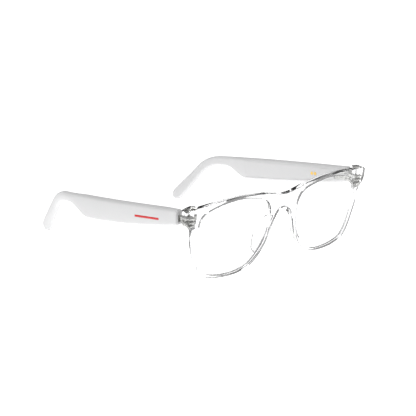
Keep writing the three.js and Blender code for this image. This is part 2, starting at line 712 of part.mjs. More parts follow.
function templeShell() {
  const pocket = bayBar(
    POCKET_FROM,
    POCKET_TO,
    [OUTER_WALL, OPEN_DEPTH],
    [POCKET_LOW, POCKET_HIGH],
    BAY_PIECES,
  );
  const rebate = bayBar(
    POCKET_FROM - COVER_LEDGE,
    POCKET_TO + COVER_LEDGE,
    [LEDGE_DEPTH, OPEN_DEPTH],
    [(y) => COVER_LOW(y) - GAP, COVER_HIGH + GAP],
    BAY_PIECES,
  );
  const stripGroove = bayBar(
    STRIP_FROM - GAP,
    STRIP_FROM + STRIP_LENGTH + GAP,
    [-OVER, STRIP_THICKNESS + GAP],
    [STRIP_Z - STRIP_HEIGHT / 2 - GAP, STRIP_Z + STRIP_HEIGHT / 2 + GAP],
    3,
  );
  const high = [HINGE.z - HOUSING_HEIGHT / 2 - GAP, HINGE.z + HOUSING_HEIGHT / 2 + GAP];
  const slotInner = TEMPLE_OUTER - BAY_THICKNESS - OVER;
  const slot = block([slotInner, HOUSING_OUTER + GAP], [HINGE.y, HOUSING_TO + GAP], high);
  const screwHoles = LEAF_SCREWS.map((y) =>
    alongX(LEAF_SCREW_RADIUS + GAP, HOUSING_OUTER, SCREW_END + GAP, y, HINGE.z),
  );
  const grilleSlot = bayBar(
    GRILLE_MIDDLE - GRILLE_LENGTH / 2 - GAP,
    GRILLE_MIDDLE + GRILLE_LENGTH / 2 + GAP,
    [grilleDepths(-GAP), grilleDepths(GRILLE_WIDTH + GAP)],
    [TEMPLE_TOP - BAY_HEIGHT - OVER, (y) => POCKET_LOW(y) + GAP],
  );
  const port = new THREE.CylinderGeometry(PORT_RADIUS, PORT_RADIUS, 3 * EDGE_WALL, 12)
    .rotateX(Math.PI / 2)
    .translate(outerX(MIC_Y) - CHIP_NEAR - CHIP_THICKNESS / 2, MIC_Y, bottomZ(MIC_Y));
  return cut(templeBody(), pocket, rebate, stripGroove, slot, ...screwHoles, grilleSlot, port);
}

function grilleDepths(across) {
  return (y) => (thicknessAt(y) - GRILLE_WIDTH) / 2 + across;
}

function contactPlaces() {
  return [CONTACT_Y - CONTACT_PITCH / 2, CONTACT_Y + CONTACT_PITCH / 2];
}

function templeCover() {
  const panel = bayBar(
    POCKET_FROM - COVER_LEDGE + GAP,
    POCKET_TO + COVER_LEDGE - GAP,
    [COVER_DEPTH, thicknessAt],
    [COVER_LOW, COVER_HIGH],
    BAY_PIECES,
  );
  const holes = contactPlaces().map((y) =>
    bayButton(y, CONTACT_Z, CONTACT_RADIUS + GAP, CHIP_NEAR, BAY_THICKNESS + OVER),
  );
  return cut(panel, ...holes);
}

function speakerGrille() {
  const plateOf = bayBar(
    GRILLE_MIDDLE - GRILLE_LENGTH / 2,
    GRILLE_MIDDLE + GRILLE_LENGTH / 2,
    [grilleDepths(0), grilleDepths(GRILLE_WIDTH)],
    [(y) => bottomZ(y) + GAP, (y) => bottomZ(y) + GAP + GRILLE_THICKNESS],
  );
  const holes = 5;
  const pitch = GRILLE_LENGTH / (holes + 1);
  const bores = Array.from({ length: holes }, (_, i) => {
    const y = GRILLE_MIDDLE + (i - (holes - 1) / 2) * pitch;
    const bore = new THREE.CylinderGeometry(PORT_RADIUS, PORT_RADIUS, 4 * GRILLE_THICKNESS, 8);
    return bore.rotateX(Math.PI / 2).translate(outerX(y) - thicknessAt(y) / 2, y, bottomZ(y) + GAP);
  });
  return cut(plateOf, ...bores);
}

function templeLeaf() {
  const high = [HINGE.z - HOUSING_HEIGHT / 2, HINGE.z + HOUSING_HEIGHT / 2];
  const housing = block([HOUSING_INNER, HOUSING_OUTER], [HOUSING_FROM, HOUSING_TO], high);
  const half = KNUCKLE_HEIGHT / 2;
  const arm = block(
    [HOUSING_INNER, HINGE_X + 0.5 * KNUCKLE_RADIUS],
    [HINGE_V - half, HINGE_V + half],
    [-HINGE_DEPTH - KNUCKLE_RADIUS - 2 * HOUSING_SETBACK, -HINGE_DEPTH],
  );
  const tilted = [arm, knuckle(0, 1)].map((piece) => piece.applyMatrix4(FRONT_TO_WORN));
  const bores = LEAF_SCREWS.flatMap((y) => [
    alongX(LEAF_SCREW_RADIUS + GAP, HOUSING_INNER - OVER, HOUSING_OUTER + OVER, y, HINGE.z),
    alongX(
      LEAF_SCREW_HEAD + GAP,
      HOUSING_INNER - OVER,
      HOUSING_INNER + LEAF_SCREW_HEAD_HEIGHT + GAP,
      y,
      HINGE.z,
    ),
  ]);
  return cut(join(housing, ...tilted), pinHole(1).applyMatrix4(FRONT_TO_WORN), ...bores);
}

function leafScrew(y) {
  const headEnd = HOUSING_INNER + LEAF_SCREW_HEAD_HEIGHT;
  const head = alongX(LEAF_SCREW_HEAD, HOUSING_INNER, headEnd, y, HINGE.z);
  return join(head, alongX(LEAF_SCREW_RADIUS, headEnd - GAP, SCREW_END, y, HINGE.z));
}

// All the pieces of one temple, as on the wearer's left.
function templePieces(end) {
  const name = (piece) => `${piece}_${end}`;
  const contacts = contactPlaces();
  const chipHeights = centred(BOARD_HEIGHTS, CHIP_HEIGHT);
  const chipTo = BOARD_TO - GAP;
  const pieces = [
    named(name("temple_shell"), templeShell(), "shell"),
    named(name("temple_cover"), templeCover(), "shell"),
    named(name("hinge_temple_leaf"), templeLeaf(), "steel"),
    named(name("accent_strip"), accentStrip(), "red"),
    named(
      name("touch_sensor"),
      bayBar(
        STRIP_FROM,
        STRIP_FROM + STRIP_LENGTH,
        [OUTER_WALL + GAP, OUTER_WALL + GAP + FLEX_THICKNESS],
        BOARD_HEIGHTS,
        3,
      ),
      "flex",
    ),
    named(
      name("circuit_board"),
      bayBar(
        BOARD_FROM,
        BOARD_TO,
        [BOARD_NEAR, BOARD_FAR],
        BOARD_HEIGHTS,
        4,
      ),
      "board",
    ),
    named(
      name("bluetooth_chip"),
      bayBar(chipTo - CHIP_LENGTH, chipTo, [CHIP_NEAR, CHIP_NEAR + CHIP_THICKNESS], chipHeights),
      "chip",
    ),
    named(
      name("microphone"),
      bayBar(
        MIC_Y - MIC_LENGTH / 2,
        MIC_Y + MIC_LENGTH / 2,
        [CHIP_NEAR, CHIP_NEAR + CHIP_THICKNESS],
        [(y) => POCKET_LOW(y) + GAP, (y) => POCKET_LOW(y) + GAP + MIC_HEIGHT],
      ),
      "foil",
    ),
    named(
      name("battery"),
      bayBar(
        BATTERY_FROM,
        BATTERY_TO,
        [OUTER_WALL + GAP, OUTER_WALL + GAP + BATTERY_THICKNESS],
        BATTERY_HEIGHTS,
        3,
      ),
      "foil",
    ),
    named(
      name("speaker"),
      bayBar(
        SPEAKER_FROM,
        SPEAKER_TO,
        [OUTER_WALL + GAP, OUTER_WALL + GAP + SPEAKER_THICKNESS],
        centred([POCKET_LOW(SPEAKER_FROM), FLEX_LOW], SPEAKER_HEIGHT),
      ),
      "chip",
    ),
    named(
      name("speaker_flex"),
      bayBar(
        BOARD_TO + GAP,
        SPEAKER_FROM + SPEAKER_LENGTH / 3,
        [OUTER_WALL + 2 * GAP, OUTER_WALL + 2 * GAP + FLEX_WIDTH],
        [FLEX_LOW, FLEX_LOW + FLEX_THICKNESS],
        4,
      ),
      "flex",
    ),
    named(name("speaker_grille"), speakerGrille(), "mesh"),
  ];
  contacts.forEach((y, i) => {
    const contact = bayButton(y, CONTACT_Z, CONTACT_RADIUS, CHIP_NEAR, thicknessAt(y));
    pieces.push(named(name(`charge_contact_${i + 1}`), contact, "gold"));
  });
  [-1, 1].forEach((way, i) => {
    const y = CONTACT_Y + (way * MAGNET_PITCH) / 2;
    const far = COVER_DEPTH(y) - GAP;
    const magnet = bayButton(y, CONTACT_Z, MAGNET_RADIUS, far - MAGNET_THICKNESS, far);
    pieces.push(named(name(`charge_magnet_${i + 1}`), magnet, "foil"));
  });
  LEAF_SCREWS.forEach((y, i) => {
    pieces.push(named(name(`hinge_leaf_screw_${i + 1}`), leafScrew(y), "steel"));
  });
  return pieces;
}

function accentStrip() {
  return bayBar(
    STRIP_FROM,
    STRIP_FROM + STRIP_LENGTH,
    [0, STRIP_THICKNESS],
    [STRIP_Z - STRIP_HEIGHT / 2, STRIP_Z + STRIP_HEIGHT / 2],
    3,
  );
}

// ---- Assembly ---------------------------------------------------------------------------------------
const front = new THREE.Group();
front.applyMatrix4(FRONT_TO_WORN);
front.add(named("front_frame", frontFrame(), "clear"));
for (const [end, side] of [["left", 1], ["right", -1]]) {
  front.add(named(`lens_${end}`, lens(side), "lens"));
  front.add(named(`nose_pad_${end}`, nosePad(side), "clear"));
  front.add(named(`hinge_front_leaf_${end}`, frontLeaf(side), "steel"));
  front.add(named(`hinge_screw_${end}`, hingeScrew(side), "steel"));
}

const worn = new THREE.Group();
worn.add(front);
for (const [end, side] of [["left", 1], ["right", -1]]) {
  const temple = new THREE.Group();
  temple.scale.x = side;
  temple.add(...templePieces(end));
  worn.add(temple);
}

// The lowest point of what a group holds, at the group's present tilt.
function lowestPoint(object) {
  const lowest = new THREE.Vector3(0, 0, Infinity);
  const point = new THREE.Vector3();
  object.updateWorldMatrix(true, true);
  object.traverse((mesh) => {
    if (!mesh.isMesh) return;
    const position = mesh.geometry.getAttribute("position");
    for (let i = 0; i < position.count; i++) {
      point.fromBufferAttribute(position, i).applyMatrix4(mesh.matrixWorld);
      if (point.z < lowest.z) lowest.copy(point);
    }
  });
  return lowest;
}

// Tips the glasses until the rims and the temple tips are equally low, then stands them on z = 0 with
// the middle of their footprint at the origin.
const temple = worn.children[1];
for (let pass = 0; pass < 6; pass++) {
  const rim = lowestPoint(front);
  const tip = lowestPoint(temple);
  worn.rotation.x -= Math.atan2(tip.z - rim.z, tip.y - rim.y);
}
worn.updateMatrixWorld(true);
const extent = new THREE.Box3().setFromObject(worn, true);
const middle = extent.getCenter(new THREE.Vector3());
worn.position.set(-middle.x, -middle.y, -extent.min.z);

const group = new THREE.Group();
group.add(worn);
export default group;
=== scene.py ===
import json
import math

import bmesh
import bpy
import numpy as np
from bpy.props import FloatProperty, FloatVectorProperty, PointerProperty
from mathutils import Matrix, Vector
from mathutils.geometry import delaunay_2d_cdt


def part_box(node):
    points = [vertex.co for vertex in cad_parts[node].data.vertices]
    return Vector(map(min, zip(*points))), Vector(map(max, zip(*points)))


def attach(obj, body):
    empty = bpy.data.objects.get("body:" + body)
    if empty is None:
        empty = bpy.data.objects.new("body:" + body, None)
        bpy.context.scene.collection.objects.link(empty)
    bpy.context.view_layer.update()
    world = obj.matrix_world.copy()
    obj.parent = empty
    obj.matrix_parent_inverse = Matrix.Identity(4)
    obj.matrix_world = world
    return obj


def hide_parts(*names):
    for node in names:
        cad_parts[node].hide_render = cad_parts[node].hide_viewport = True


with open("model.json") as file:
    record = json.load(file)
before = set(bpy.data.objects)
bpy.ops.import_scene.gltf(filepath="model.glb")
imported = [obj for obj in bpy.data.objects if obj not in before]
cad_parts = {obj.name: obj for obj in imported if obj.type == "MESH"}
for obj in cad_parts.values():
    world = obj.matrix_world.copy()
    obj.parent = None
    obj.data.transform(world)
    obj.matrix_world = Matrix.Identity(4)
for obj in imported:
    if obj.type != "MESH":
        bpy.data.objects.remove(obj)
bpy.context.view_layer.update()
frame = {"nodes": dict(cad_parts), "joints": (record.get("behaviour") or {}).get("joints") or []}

bl_info = {
    "name": "Clear Audio Glasses",
    "version": (1, 0, 0),
    "blender": (4, 5, 0),
    "location": "View3D > Sidebar > Glasses",
    "description": "Builds clear full-rim glasses with folding audio temples around their packed frame",
    "category": "Mesh",
}

SIDES = (("left", 1), ("right", -1))
MM = 0.001

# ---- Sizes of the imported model, in millimetres ---------------------------------------------------
LENS_WIDTH, LENS_HEIGHT, BRIDGE_WIDTH = 52, 44, 22
RIM_BOTTOM, RIM_DEPTH = 1.6, 3.4
BROW_DIP, BRIDGE_HEIGHT = 2.3, 8.5
END_REACH, END_HEIGHT, END_DEPTH, END_DROP, END_SKIRT = 9.6, 8, 6.2, 1.2, 4
WRAP_RADIUS, TILT = 557, math.radians(14.7)
LENS_THICKNESS, LENS_INSET, LENS_EDGE = 1.9, 0.8, 0.25
PAD_DEPTH, PAD_THICKNESS, PAD_SPLAY, PAD_INSET = 6, 2, 0.35, 0.1
HINGE_GAP, HINGE_INSET, HINGE_DROP = 4.2, 5.9, 8.5
KNUCKLE_RADIUS, PIN_RADIUS, BARREL_HALF = 1.6, 0.7, 2.55
HOUSING_OUTER_INSET, HOUSING_HEIGHT = 3, 4
HOUSING_SETBACK, HOUSING_LENGTH = 1.1, 8.6
TEMPLE_INSET, TOP_ABOVE_HINGE = 0.9, 5.3
FRONT_END_HEIGHT, BAY_HEIGHT, ARM_HEIGHT, TIP_HEIGHT = 8.8, 13, 5.7, 7.2
FRONT_END_THICKNESS, BAY_THICKNESS, ARM_THICKNESS = 5, 6.2, 4
BAY_LENGTH, STEP_LENGTH, ARM_LENGTH = 81, 19, 4.5
HOOK_RADIUS, HOOK_ANGLE, HOOK_LENGTH = 22, math.radians(43), 24.6
SWEEP, SWEEP_POWER, END_MITRE = 15.2, 3.2, math.radians(8)
OUTER_WALL, EDGE_WALL, COVER_THICKNESS, POCKET_START = 1.4, 2, 1, 11.5
STRIP_START, STRIP_LENGTH, STRIP_HEIGHT, STRIP_THICKNESS, STRIP_DROP = 14, 20.3, 1.2, 0.6, 1
CONTACT_RADIUS = 1
GRILLE_LENGTH, GRILLE_WIDTH, GRILLE_RECESS = 6.4, 1.4, 1.25
SPEAKER_LENGTH, SPEAKER_BACK = 9, 2.5
MIC_FROM_POCKET, MIC_DEPTH, PORT_RADIUS = 4, 3.9, 0.45

# ---- Fine sizes of the visible pieces, in millimetres --------------------------------------------
# Clearances round the pieces that are set into others.
LENS_PLAY, STRIP_PLAY, COVER_PLAY, SEAT_PLAY = 0.05, 0.06, 0.06, 0.05
HOUSING_PLAY, HOUSING_END_PLAY, CONTACT_PLAY = 0.1, 0.12, 0.08
GRILLE_PLAY, GRILLE_END_PLAY, PAD_GAP, BLOCK_GAP = 0.05, 0.08, 0.04, 0.04
LENS_BAND = 0.3  # bevel on each side of a lens's ground edge
BLOCK_STEP, BLOCK_FADE = 1.1, 2.5  # how fast the end pieces deepen, across and upwards
LEDGE = 0.35  # step that an inner cover rests on
END_ROUND = 0.55  # rounding of a temple's front end
CROWN_RUN = 12  # length over which the outer side starts to bulge
STATION_PITCH = 1.6  # distance between a temple's sections
STRIP_RISE, STRIP_CHAMFER = 0.05, 0.15
COVER_CHAMFER = 0.12
SCREW_RISE, SCREW_HEAD, SCREW_SLOT = 0.3, 0.5, (3, 0.5, 0.34)
COARSE_PITCH, FINE_PITCH = 1.1, 0.35  # spacing of the points over the front's flats

LENS_X = (BRIDGE_WIDTH + LENS_WIDTH) / 2
LENS_V = RIM_BOTTOM + LENS_HEIGHT / 2
LENS_TOP = RIM_BOTTOM + LENS_HEIGHT
FRONT_HALF = BRIDGE_WIDTH / 2 + LENS_WIDTH + END_REACH
HINGE_X, HINGE_V = FRONT_HALF - HINGE_INSET, LENS_TOP - HINGE_DROP


def wrap_at(x):
    """How far the front's curve carries a point back, at x from its middle."""
    return x * x / (2 * WRAP_RADIUS)


END_BACK = wrap_at(HINGE_X) + END_DEPTH
END_TOP = LENS_TOP - END_DROP
END_LOW = END_TOP - END_HEIGHT
BLOCK_SIDE = FRONT_HALF - END_REACH + 2.05  # where the end piece reaches its full depth
ARCH_TOP = LENS_TOP - BROW_DIP - BRIDGE_HEIGHT
BRIDGE_SHOULDER = (0.28 * BRIDGE_WIDTH, ARCH_TOP - 4.4)
FRONT_TO_WORN = Matrix.Rotation(math.pi / 2 + TILT, 4, "X")
HINGE = FRONT_TO_WORN @ Vector((HINGE_X, HINGE_V, -END_BACK - HINGE_GAP / 2))
TEMPLE_START = HINGE.y + HINGE_GAP / 2
TEMPLE_OUTER = FRONT_HALF - TEMPLE_INSET
TEMPLE_TOP = HINGE.z + TOP_ABOVE_HINGE
BAY_END = TEMPLE_START + BAY_LENGTH
STEP_END = BAY_END + STEP_LENGTH
HOOK_START = STEP_END + ARM_LENGTH
TEMPLE_END = HOOK_START + HOOK_RADIUS * math.sin(HOOK_ANGLE) + HOOK_LENGTH * math.cos(HOOK_ANGLE)
POCKET_FROM, POCKET_TO = TEMPLE_START + POCKET_START, BAY_END
STRIP_FROM = TEMPLE_START + STRIP_START
STRIP_Z = HINGE.z - STRIP_DROP
GRILLE_Y = POCKET_TO - SPEAKER_BACK - SPEAKER_LENGTH / 2


def worn_to_row():
    """The matrix that tips the worn glasses onto their rims and tips, read from the left hinge."""
    joint = next(j for j in frame["joints"] if j["name"] == "temple_left_fold")
    axis, place = Vector(joint["axis"]), Vector(joint["pos_m"])
    tip = Matrix.Rotation(math.atan2(-axis.y, axis.z) - TILT, 4, "X") @ Matrix.Scale(MM, 4)
    return Matrix.Translation(place - tip @ HINGE) @ tip


WORN = worn_to_row()
FRONT = WORN @ FRONT_TO_WORN

# The visible lens as shares of its half width and half height, with the rim's width where it follows it.
LENS_SHAPE = (
    (-0.73, 0.88, 0), (-0.46, 0.95, 2.2), (-0.15, 0.998, 1.8), (0.15, 0.99, 1.8), (0.4, 0.95, 2.4),
    (0.65, 0.87, 0), (0.86, 0.77, 0), (0.97, 0.62, 0), (1, 0.32, 4.6), (0.995, 0.07, 4.2),
    (0.94, -0.34, 3), (0.86, -0.65, 2.4), (0.72, -0.86, 2.1), (0.46, -0.96, 1.8),
    (0.12, -1, RIM_BOTTOM), (-0.18, -0.98, RIM_BOTTOM), (-0.47, -0.86, 2.2), (-0.7, -0.62, 2.4),
    (-0.9, -0.3, 1.9), (-0.98, 0.02, 2.5), (-1, 0.26, 0), (-0.99, 0.54, 0), (-0.9, 0.76, 0),
)


# ---- Curves and meshes ---------------------------------------------------------------------------
def ease(t):
    s = np.clip(t, 0, 1)
    return s * s * (3 - 2 * s)


def spans(before, here, after, beyond, shares):
    """Points of a centripetal spline between here and after, one row for each span."""
    def knot(a, b):
        return np.maximum(((a - b) ** 2).sum(1) ** 0.25, 1e-4)[:, None]

    k0, k1, k2 = knot(before, here), knot(here, after), knot(after, beyond)
    t1 = k1 * ((here - before) / k0 - (after - before) / (k0 + k1) + (after - here) / k1)
    t2 = k1 * ((after - here) / k1 - (beyond - here) / (k1 + k2) + (beyond - after) / k2)
    rows = [
        here + t1 * s + (3 * (after - here) - 2 * t1 - t2) * s**2 + (2 * (here - after) + t1 + t2) * s**3
        for s in shares
    ]
    return np.stack(rows, 1).reshape(-1, here.shape[1])


def closed_curve(anchors, per_span):
    p = np.array(anchors, float)
    shares = np.arange(per_span) / per_span
    return spans(np.roll(p, 1, 0), p, np.roll(p, -1, 0), np.roll(p, -2, 0), shares)


def open_curve(anchors, stations):
    """Points at even distances along an open spline."""
    p = np.array(anchors, float)
    q = np.vstack([2 * p[0] - p[1], p, 2 * p[-1] - p[-2]])
    fine = np.vstack([spans(q[:-3], q[1:-2], q[2:-1], q[3:], np.arange(20) / 20), p[-1]])
    run = np.concatenate([[0], np.cumsum(np.linalg.norm(np.diff(fine, axis=0), axis=1))])
    at = np.linspace(0, run[-1], stations)
    return np.stack([np.interp(at, run, fine[:, k]) for k in range(p.shape[1])], 1)


def turning_left(loop):
    """The loop in the order that keeps its inside on the left."""
    ahead = np.roll(loop, -1, 0)
    area = (loop[:, 0] * ahead[:, 1] - ahead[:, 0] * loop[:, 1]).sum()
    return loop if area > 0 else loop[::-1]


def inset(loop, distance):
    """The loop moved to its left, which is its inside."""
    along = np.roll(loop, -1, 0) - np.roll(loop, 1, 0)
    along /= np.linalg.norm(along, axis=1)[:, None]
    return loop + distance * np.stack([-along[:, 1], along[:, 0]], 1)


def inside(points, loop):
    """Whether each point lies inside the loop."""
    ahead = np.roll(loop, -1, 0)
    px, py = points[:, 0][:, None], points[:, 1][:, None]
    crosses = (loop[:, 1] > py) != (ahead[:, 1] > py)
    rise = np.where(ahead[:, 1] == loop[:, 1], 1, ahead[:, 1] - loop[:, 1])
    at = loop[:, 0] + (py - loop[:, 1]) / rise * (ahead[:, 0] - loop[:, 0])
    return (crosses & (px < at)).sum(1) % 2 == 1


def new_piece(name, points, faces, place, body, material, sharp=35):
    """A welded mesh object from points in millimetres, riding on a body."""
    work = bmesh.new()
    for p in points:
        work.verts.new(place @ Vector(p))
    work.verts.ensure_lookup_table()
    for face in faces:
        corners = [work.verts[i] for i in face]
        if len(set(corners)) > 2 and work.faces.get(corners) is None:
            work.faces.new(corners)
    bmesh.ops.remove_doubles(work, verts=work.verts, dist=2e-6)
    bmesh.ops.dissolve_degenerate(work, edges=work.edges, dist=1e-6)
    loose = [v for v in work.verts if not v.link_faces]
    bmesh.ops.delete(work, geom=loose, context="VERTS")
    bmesh.ops.recalc_face_normals(work, faces=work.faces)
    mesh = bpy.data.meshes.new(name)
    work.to_mesh(mesh)
    work.free()
    return add_piece(name, mesh, body, material, sharp)


def add_piece(name, mesh, body, material, sharp=35):
    mesh.shade_smooth()
    mesh.set_sharp_from_angle(angle=math.radians(sharp))
    mesh.materials.clear()
    mesh.materials.append(material)
    piece = bpy.data.objects.new(name, mesh)
    bpy.context.scene.collection.objects.link(piece)
    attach(piece, body)
    return piece


def tube_faces(rings, count, first=0, closed_ends=True):
    """Quads between rings of equal point counts, with a face over each end."""
    faces = []
    for i in range(rings - 1):
        a = first + i * count
        for j in range(count):
            k = (j + 1) % count
            faces.append((a + j, a + k, a + count + k, a + count + j))
    if closed_ends:
        faces.append(tuple(first + j for j in reversed(range(count))))
        faces.append(tuple(first + (rings - 1) * count + j for j in range(count)))
    return faces


def round_edges(piece, width, segments=2, angle=40):
    """Rounds a piece's sharp edges, with a width in millimetres."""
    bevel = piece.modifiers.new("rounded edges", "BEVEL")
    bevel.width = width * MM
    bevel.segments = segments
    bevel.limit_method = "ANGLE"
    bevel.angle_limit = math.radians(angle)
    bevel.harden_normals = True
    return bevel


def subtract(piece, tools):
    """Cuts tool meshes from a piece and keeps the result as its own mesh."""
    for tool in tools:
        cut = piece.modifiers.new("cut", "BOOLEAN")
        cut.operation, cut.solver, cut.object = "DIFFERENCE", "EXACT", tool
    bpy.context.view_layer.update()
    graph = bpy.context.evaluated_depsgraph_get()
    made = bpy.data.meshes.new_from_object(piece.evaluated_get(graph))
    piece.modifiers.clear()
    material = piece.data.materials[0]
    piece.data = made
    made.materials.clear()
    made.materials.append(material)
    made.shade_smooth()
    made.set_sharp_from_angle(angle=math.radians(35))
    for tool in tools:
        bpy.data.objects.remove(tool)


def round_tool(name, place, radius, length, sides=32):
    """A round cutting tool along the local z of a matrix whose unit is the metre."""
    work = bmesh.new()
    bmesh.ops.create_cone(
        work, cap_ends=True, segments=sides, radius1=radius * MM, radius2=radius * MM, depth=length * MM,
        matrix=place,
    )
    mesh = bpy.data.meshes.new(name)
    work.to_mesh(mesh)
    work.free()
    tool = bpy.data.objects.new(name, mesh)
    bpy.context.scene.collection.objects.link(tool)
    return tool


# ---- Materials -----------------------------------------------------------------------------------
def principled(name, color, roughness, **sockets):
    """A material of one Principled shader, with its constants set on the shader."""
    material = bpy.data.materials.new(name)
    material.use_nodes = True
    tree = material.node_tree
    shader = next(n for n in tree.nodes if n.type == "BSDF_PRINCIPLED")
    shader.inputs["Base Color"].default_value = (*color, 1)
    shader.inputs["Roughness"].default_value = roughness
    for socket, value in sockets.items():
        shader.inputs[socket.replace("_", " ")].default_value = value
    material.diffuse_color = (*color, 1)
    return material, tree, shader


def place_of(tree, scale=1000):
    """Texture coordinates fixed to the piece: its metres times a scale, so millimetres by default."""
    coordinates = tree.nodes.new("ShaderNodeTexCoord")
    mapping = tree.nodes.new("ShaderNodeMapping")
    mapping.inputs["Scale"].default_value = (scale, scale, scale) if np.isscalar(scale) else scale
    tree.links.new(coordinates.outputs["Object"], mapping.inputs["Vector"])
    return mapping.outputs["Vector"]


def noise(tree, scale, detail=3, roughness=0.5, stretch=1000):
    texture = tree.nodes.new("ShaderNodeTexNoise")
    texture.inputs["Scale"].default_value = scale
    texture.inputs["Detail"].default_value = detail
    texture.inputs["Roughness"].default_value = roughness
    tree.links.new(place_of(tree, stretch), texture.inputs["Vector"])
    return texture.outputs["Fac"]


def ranged(tree, source, low, high, start=0.3, end=0.7):
    node = tree.nodes.new("ShaderNodeMapRange")
    for socket, value in (("From Min", start), ("From Max", end), ("To Min", low), ("To Max", high)):
        node.inputs[socket].default_value = value
    tree.links.new(source, node.inputs["Value"])
    return node.outputs["Result"]


def tinted(tree, source, dark, light, start=0.35, end=0.65):
    ramp = tree.nodes.new("ShaderNodeValToRGB")
    ramp.color_ramp.elements[0].position, ramp.color_ramp.elements[1].position = start, end
    ramp.color_ramp.elements[0].color, ramp.color_ramp.elements[1].color = (*dark, 1), (*light, 1)
    tree.links.new(source, ramp.inputs["Fac"])
    return ramp.outputs["Color"]


def bumped(tree, shader, source, strength, distance):
    bump = tree.nodes.new("ShaderNodeBump")
    bump.inputs["Strength"].default_value = strength
    bump.inputs["Distance"].default_value = distance * MM
    tree.links.new(source, bump.inputs["Height"])
    tree.links.new(bump.outputs["Normal"], shader.inputs["Normal"])


def shaded(color, share):
    return tuple(share * c for c in color)


def clear_plastic(color, ior):
    """Polished clear plastic: faint polishing swirls and a slow waviness of the moulded surface."""
    material, tree, shader = principled("clear_plastic", color, 0.02, IOR=ior, Transmission_Weight=1.0)
    tree.links.new(ranged(tree, noise(tree, 0.8, 4), 0.005, 0.05), shader.inputs["Roughness"])
    bumped(tree, shader, noise(tree, 0.12, 1), 0.12, 0.06)
    return material


def lens_material(color, ior):
    """Hard-coated lens, with a faint haze where fingers touch it."""
    material, tree, shader = principled("lens_clear", color, 0.01, IOR=ior, Transmission_Weight=1.0)
    haze = ranged(tree, noise(tree, 0.25, 5, 0.6), 0.0, 0.04, 0.45, 0.75)
    tree.links.new(haze, shader.inputs["Roughness"])
    return material


def temple_material(color):
    """Satin moulded plastic: a fine spark-eroded grain with slow variation in tone and gloss."""
    material, tree, shader = principled("temple_satin", color, 0.42, IOR=1.5, Coat_Weight=0.12,
                                        Coat_Roughness=0.25)
    tone = tinted(tree, noise(tree, 0.06, 3), shaded(color, 0.975), color, 0.3, 0.7)
    tree.links.new(tone, shader.inputs["Base Color"])
    tree.links.new(ranged(tree, noise(tree, 0.9, 4), 0.36, 0.5), shader.inputs["Roughness"])
    bumped(tree, shader, noise(tree, 9, 2), 0.1, 0.02)
    return material


def metal(name, color, roughness, stretch, depth=0.01):
    """Turned or rolled metal, with fine lines along one direction and small changes of gloss."""
    material, tree, shader = principled(name, color, roughness, Metallic=1.0)
    lines = noise(tree, 1, 4, 0.6, stretch)
    tree.links.new(tinted(tree, lines, shaded(color, 0.82), color), shader.inputs["Base Color"])
    tree.links.new(ranged(tree, lines, roughness * 0.75, roughness * 1.4), shader.inputs["Roughness"])
    bumped(tree, shader, lines, 0.3, depth)
    return material


def accent_material(color):
    """Bright printed red insert with a fine orange peel."""
    material, tree, shader = principled("accent_red", color, 0.32, IOR=1.5, Coat_Weight=0.4,
                                        Coat_Roughness=0.1)
    tone = tinted(tree, noise(tree, 0.4, 3), shaded(color, 0.92), color)
    tree.links.new(tone, shader.inputs["Base Color"])
    bumped(tree, shader, noise(tree, 5, 2), 0.08, 0.01)
    return material


def board_material():
    """Green solder mask over a grid of copper tracks."""
    material, tree, shader = principled("board_mask", (0.03, 0.16, 0.07), 0.35, Coat_Weight=0.5)
    tracks = tree.nodes.new("ShaderNodeTexBrick")
    tracks.inputs["Scale"].default_value = 0.8
    tracks.inputs["Mortar Size"].default_value = 0.06
    tracks.inputs["Color1"].default_value = (0.025, 0.14, 0.06, 1)
    tracks.inputs["Color2"].default_value = (0.035, 0.19, 0.08, 1)
    tracks.inputs["Mortar"].default_value = (0.12, 0.34, 0.12, 1)
    turned = tree.nodes.new("ShaderNodeMapping")
    turned.inputs["Rotation"].default_value = (0, math.pi / 2, 0)
    tree.links.new(place_of(tree), turned.inputs["Vector"])
    tree.links.new(turned.outputs["Vector"], tracks.inputs["Vector"])
    tree.links.new(tracks.outputs["Color"], shader.inputs["Base Color"])
    bumped(tree, shader, tracks.outputs["Fac"], 0.5, 0.03)
    return material


def moulded_black():
    """Filled black epoxy with a sanded grain."""
    material, tree, shader = principled("moulded_black", (0.018, 0.018, 0.02), 0.5)
    grain = noise(tree, 7, 3)
    tree.links.new(tinted(tree, grain, (0.012, 0.012, 0.013), (0.03, 0.03, 0.032)),
                   shader.inputs["Base Color"])
    tree.links.new(ranged(tree, grain, 0.42, 0.6), shader.inputs["Roughness"])
    bumped(tree, shader, grain, 0.25, 0.02)
    return material


def film_material():
    """Amber film with copper tracks under it."""
    material, tree, shader = principled("amber_film", (0.5, 0.2, 0.03), 0.3, Coat_Weight=0.6)
    tracks = tree.nodes.new("ShaderNodeTexWave")
    tracks.bands_direction = "Z"
    tracks.inputs["Scale"].default_value = 0.7
    tracks.inputs["Distortion"].default_value = 0.2
    tree.links.new(place_of(tree), tracks.inputs["Vector"])
    tree.links.new(tinted(tree, tracks.outputs["Fac"], (0.42, 0.15, 0.02), (0.72, 0.34, 0.12), 0.45, 0.6),
                   shader.inputs["Base Color"])
    bumped(tree, shader, tracks.outputs["Fac"], 0.2, 0.02)
    return material


def grille_material():
    """Black painted sheet with a fine powder texture."""
    material, tree, shader = principled("grille_paint", (0.02, 0.02, 0.022), 0.45, Metallic=0.3)
    grain = noise(tree, 6, 3)
    tree.links.new(ranged(tree, grain, 0.35, 0.6), shader.inputs["Roughness"])
    bumped(tree, shader, grain, 0.3, 0.02)
    return material


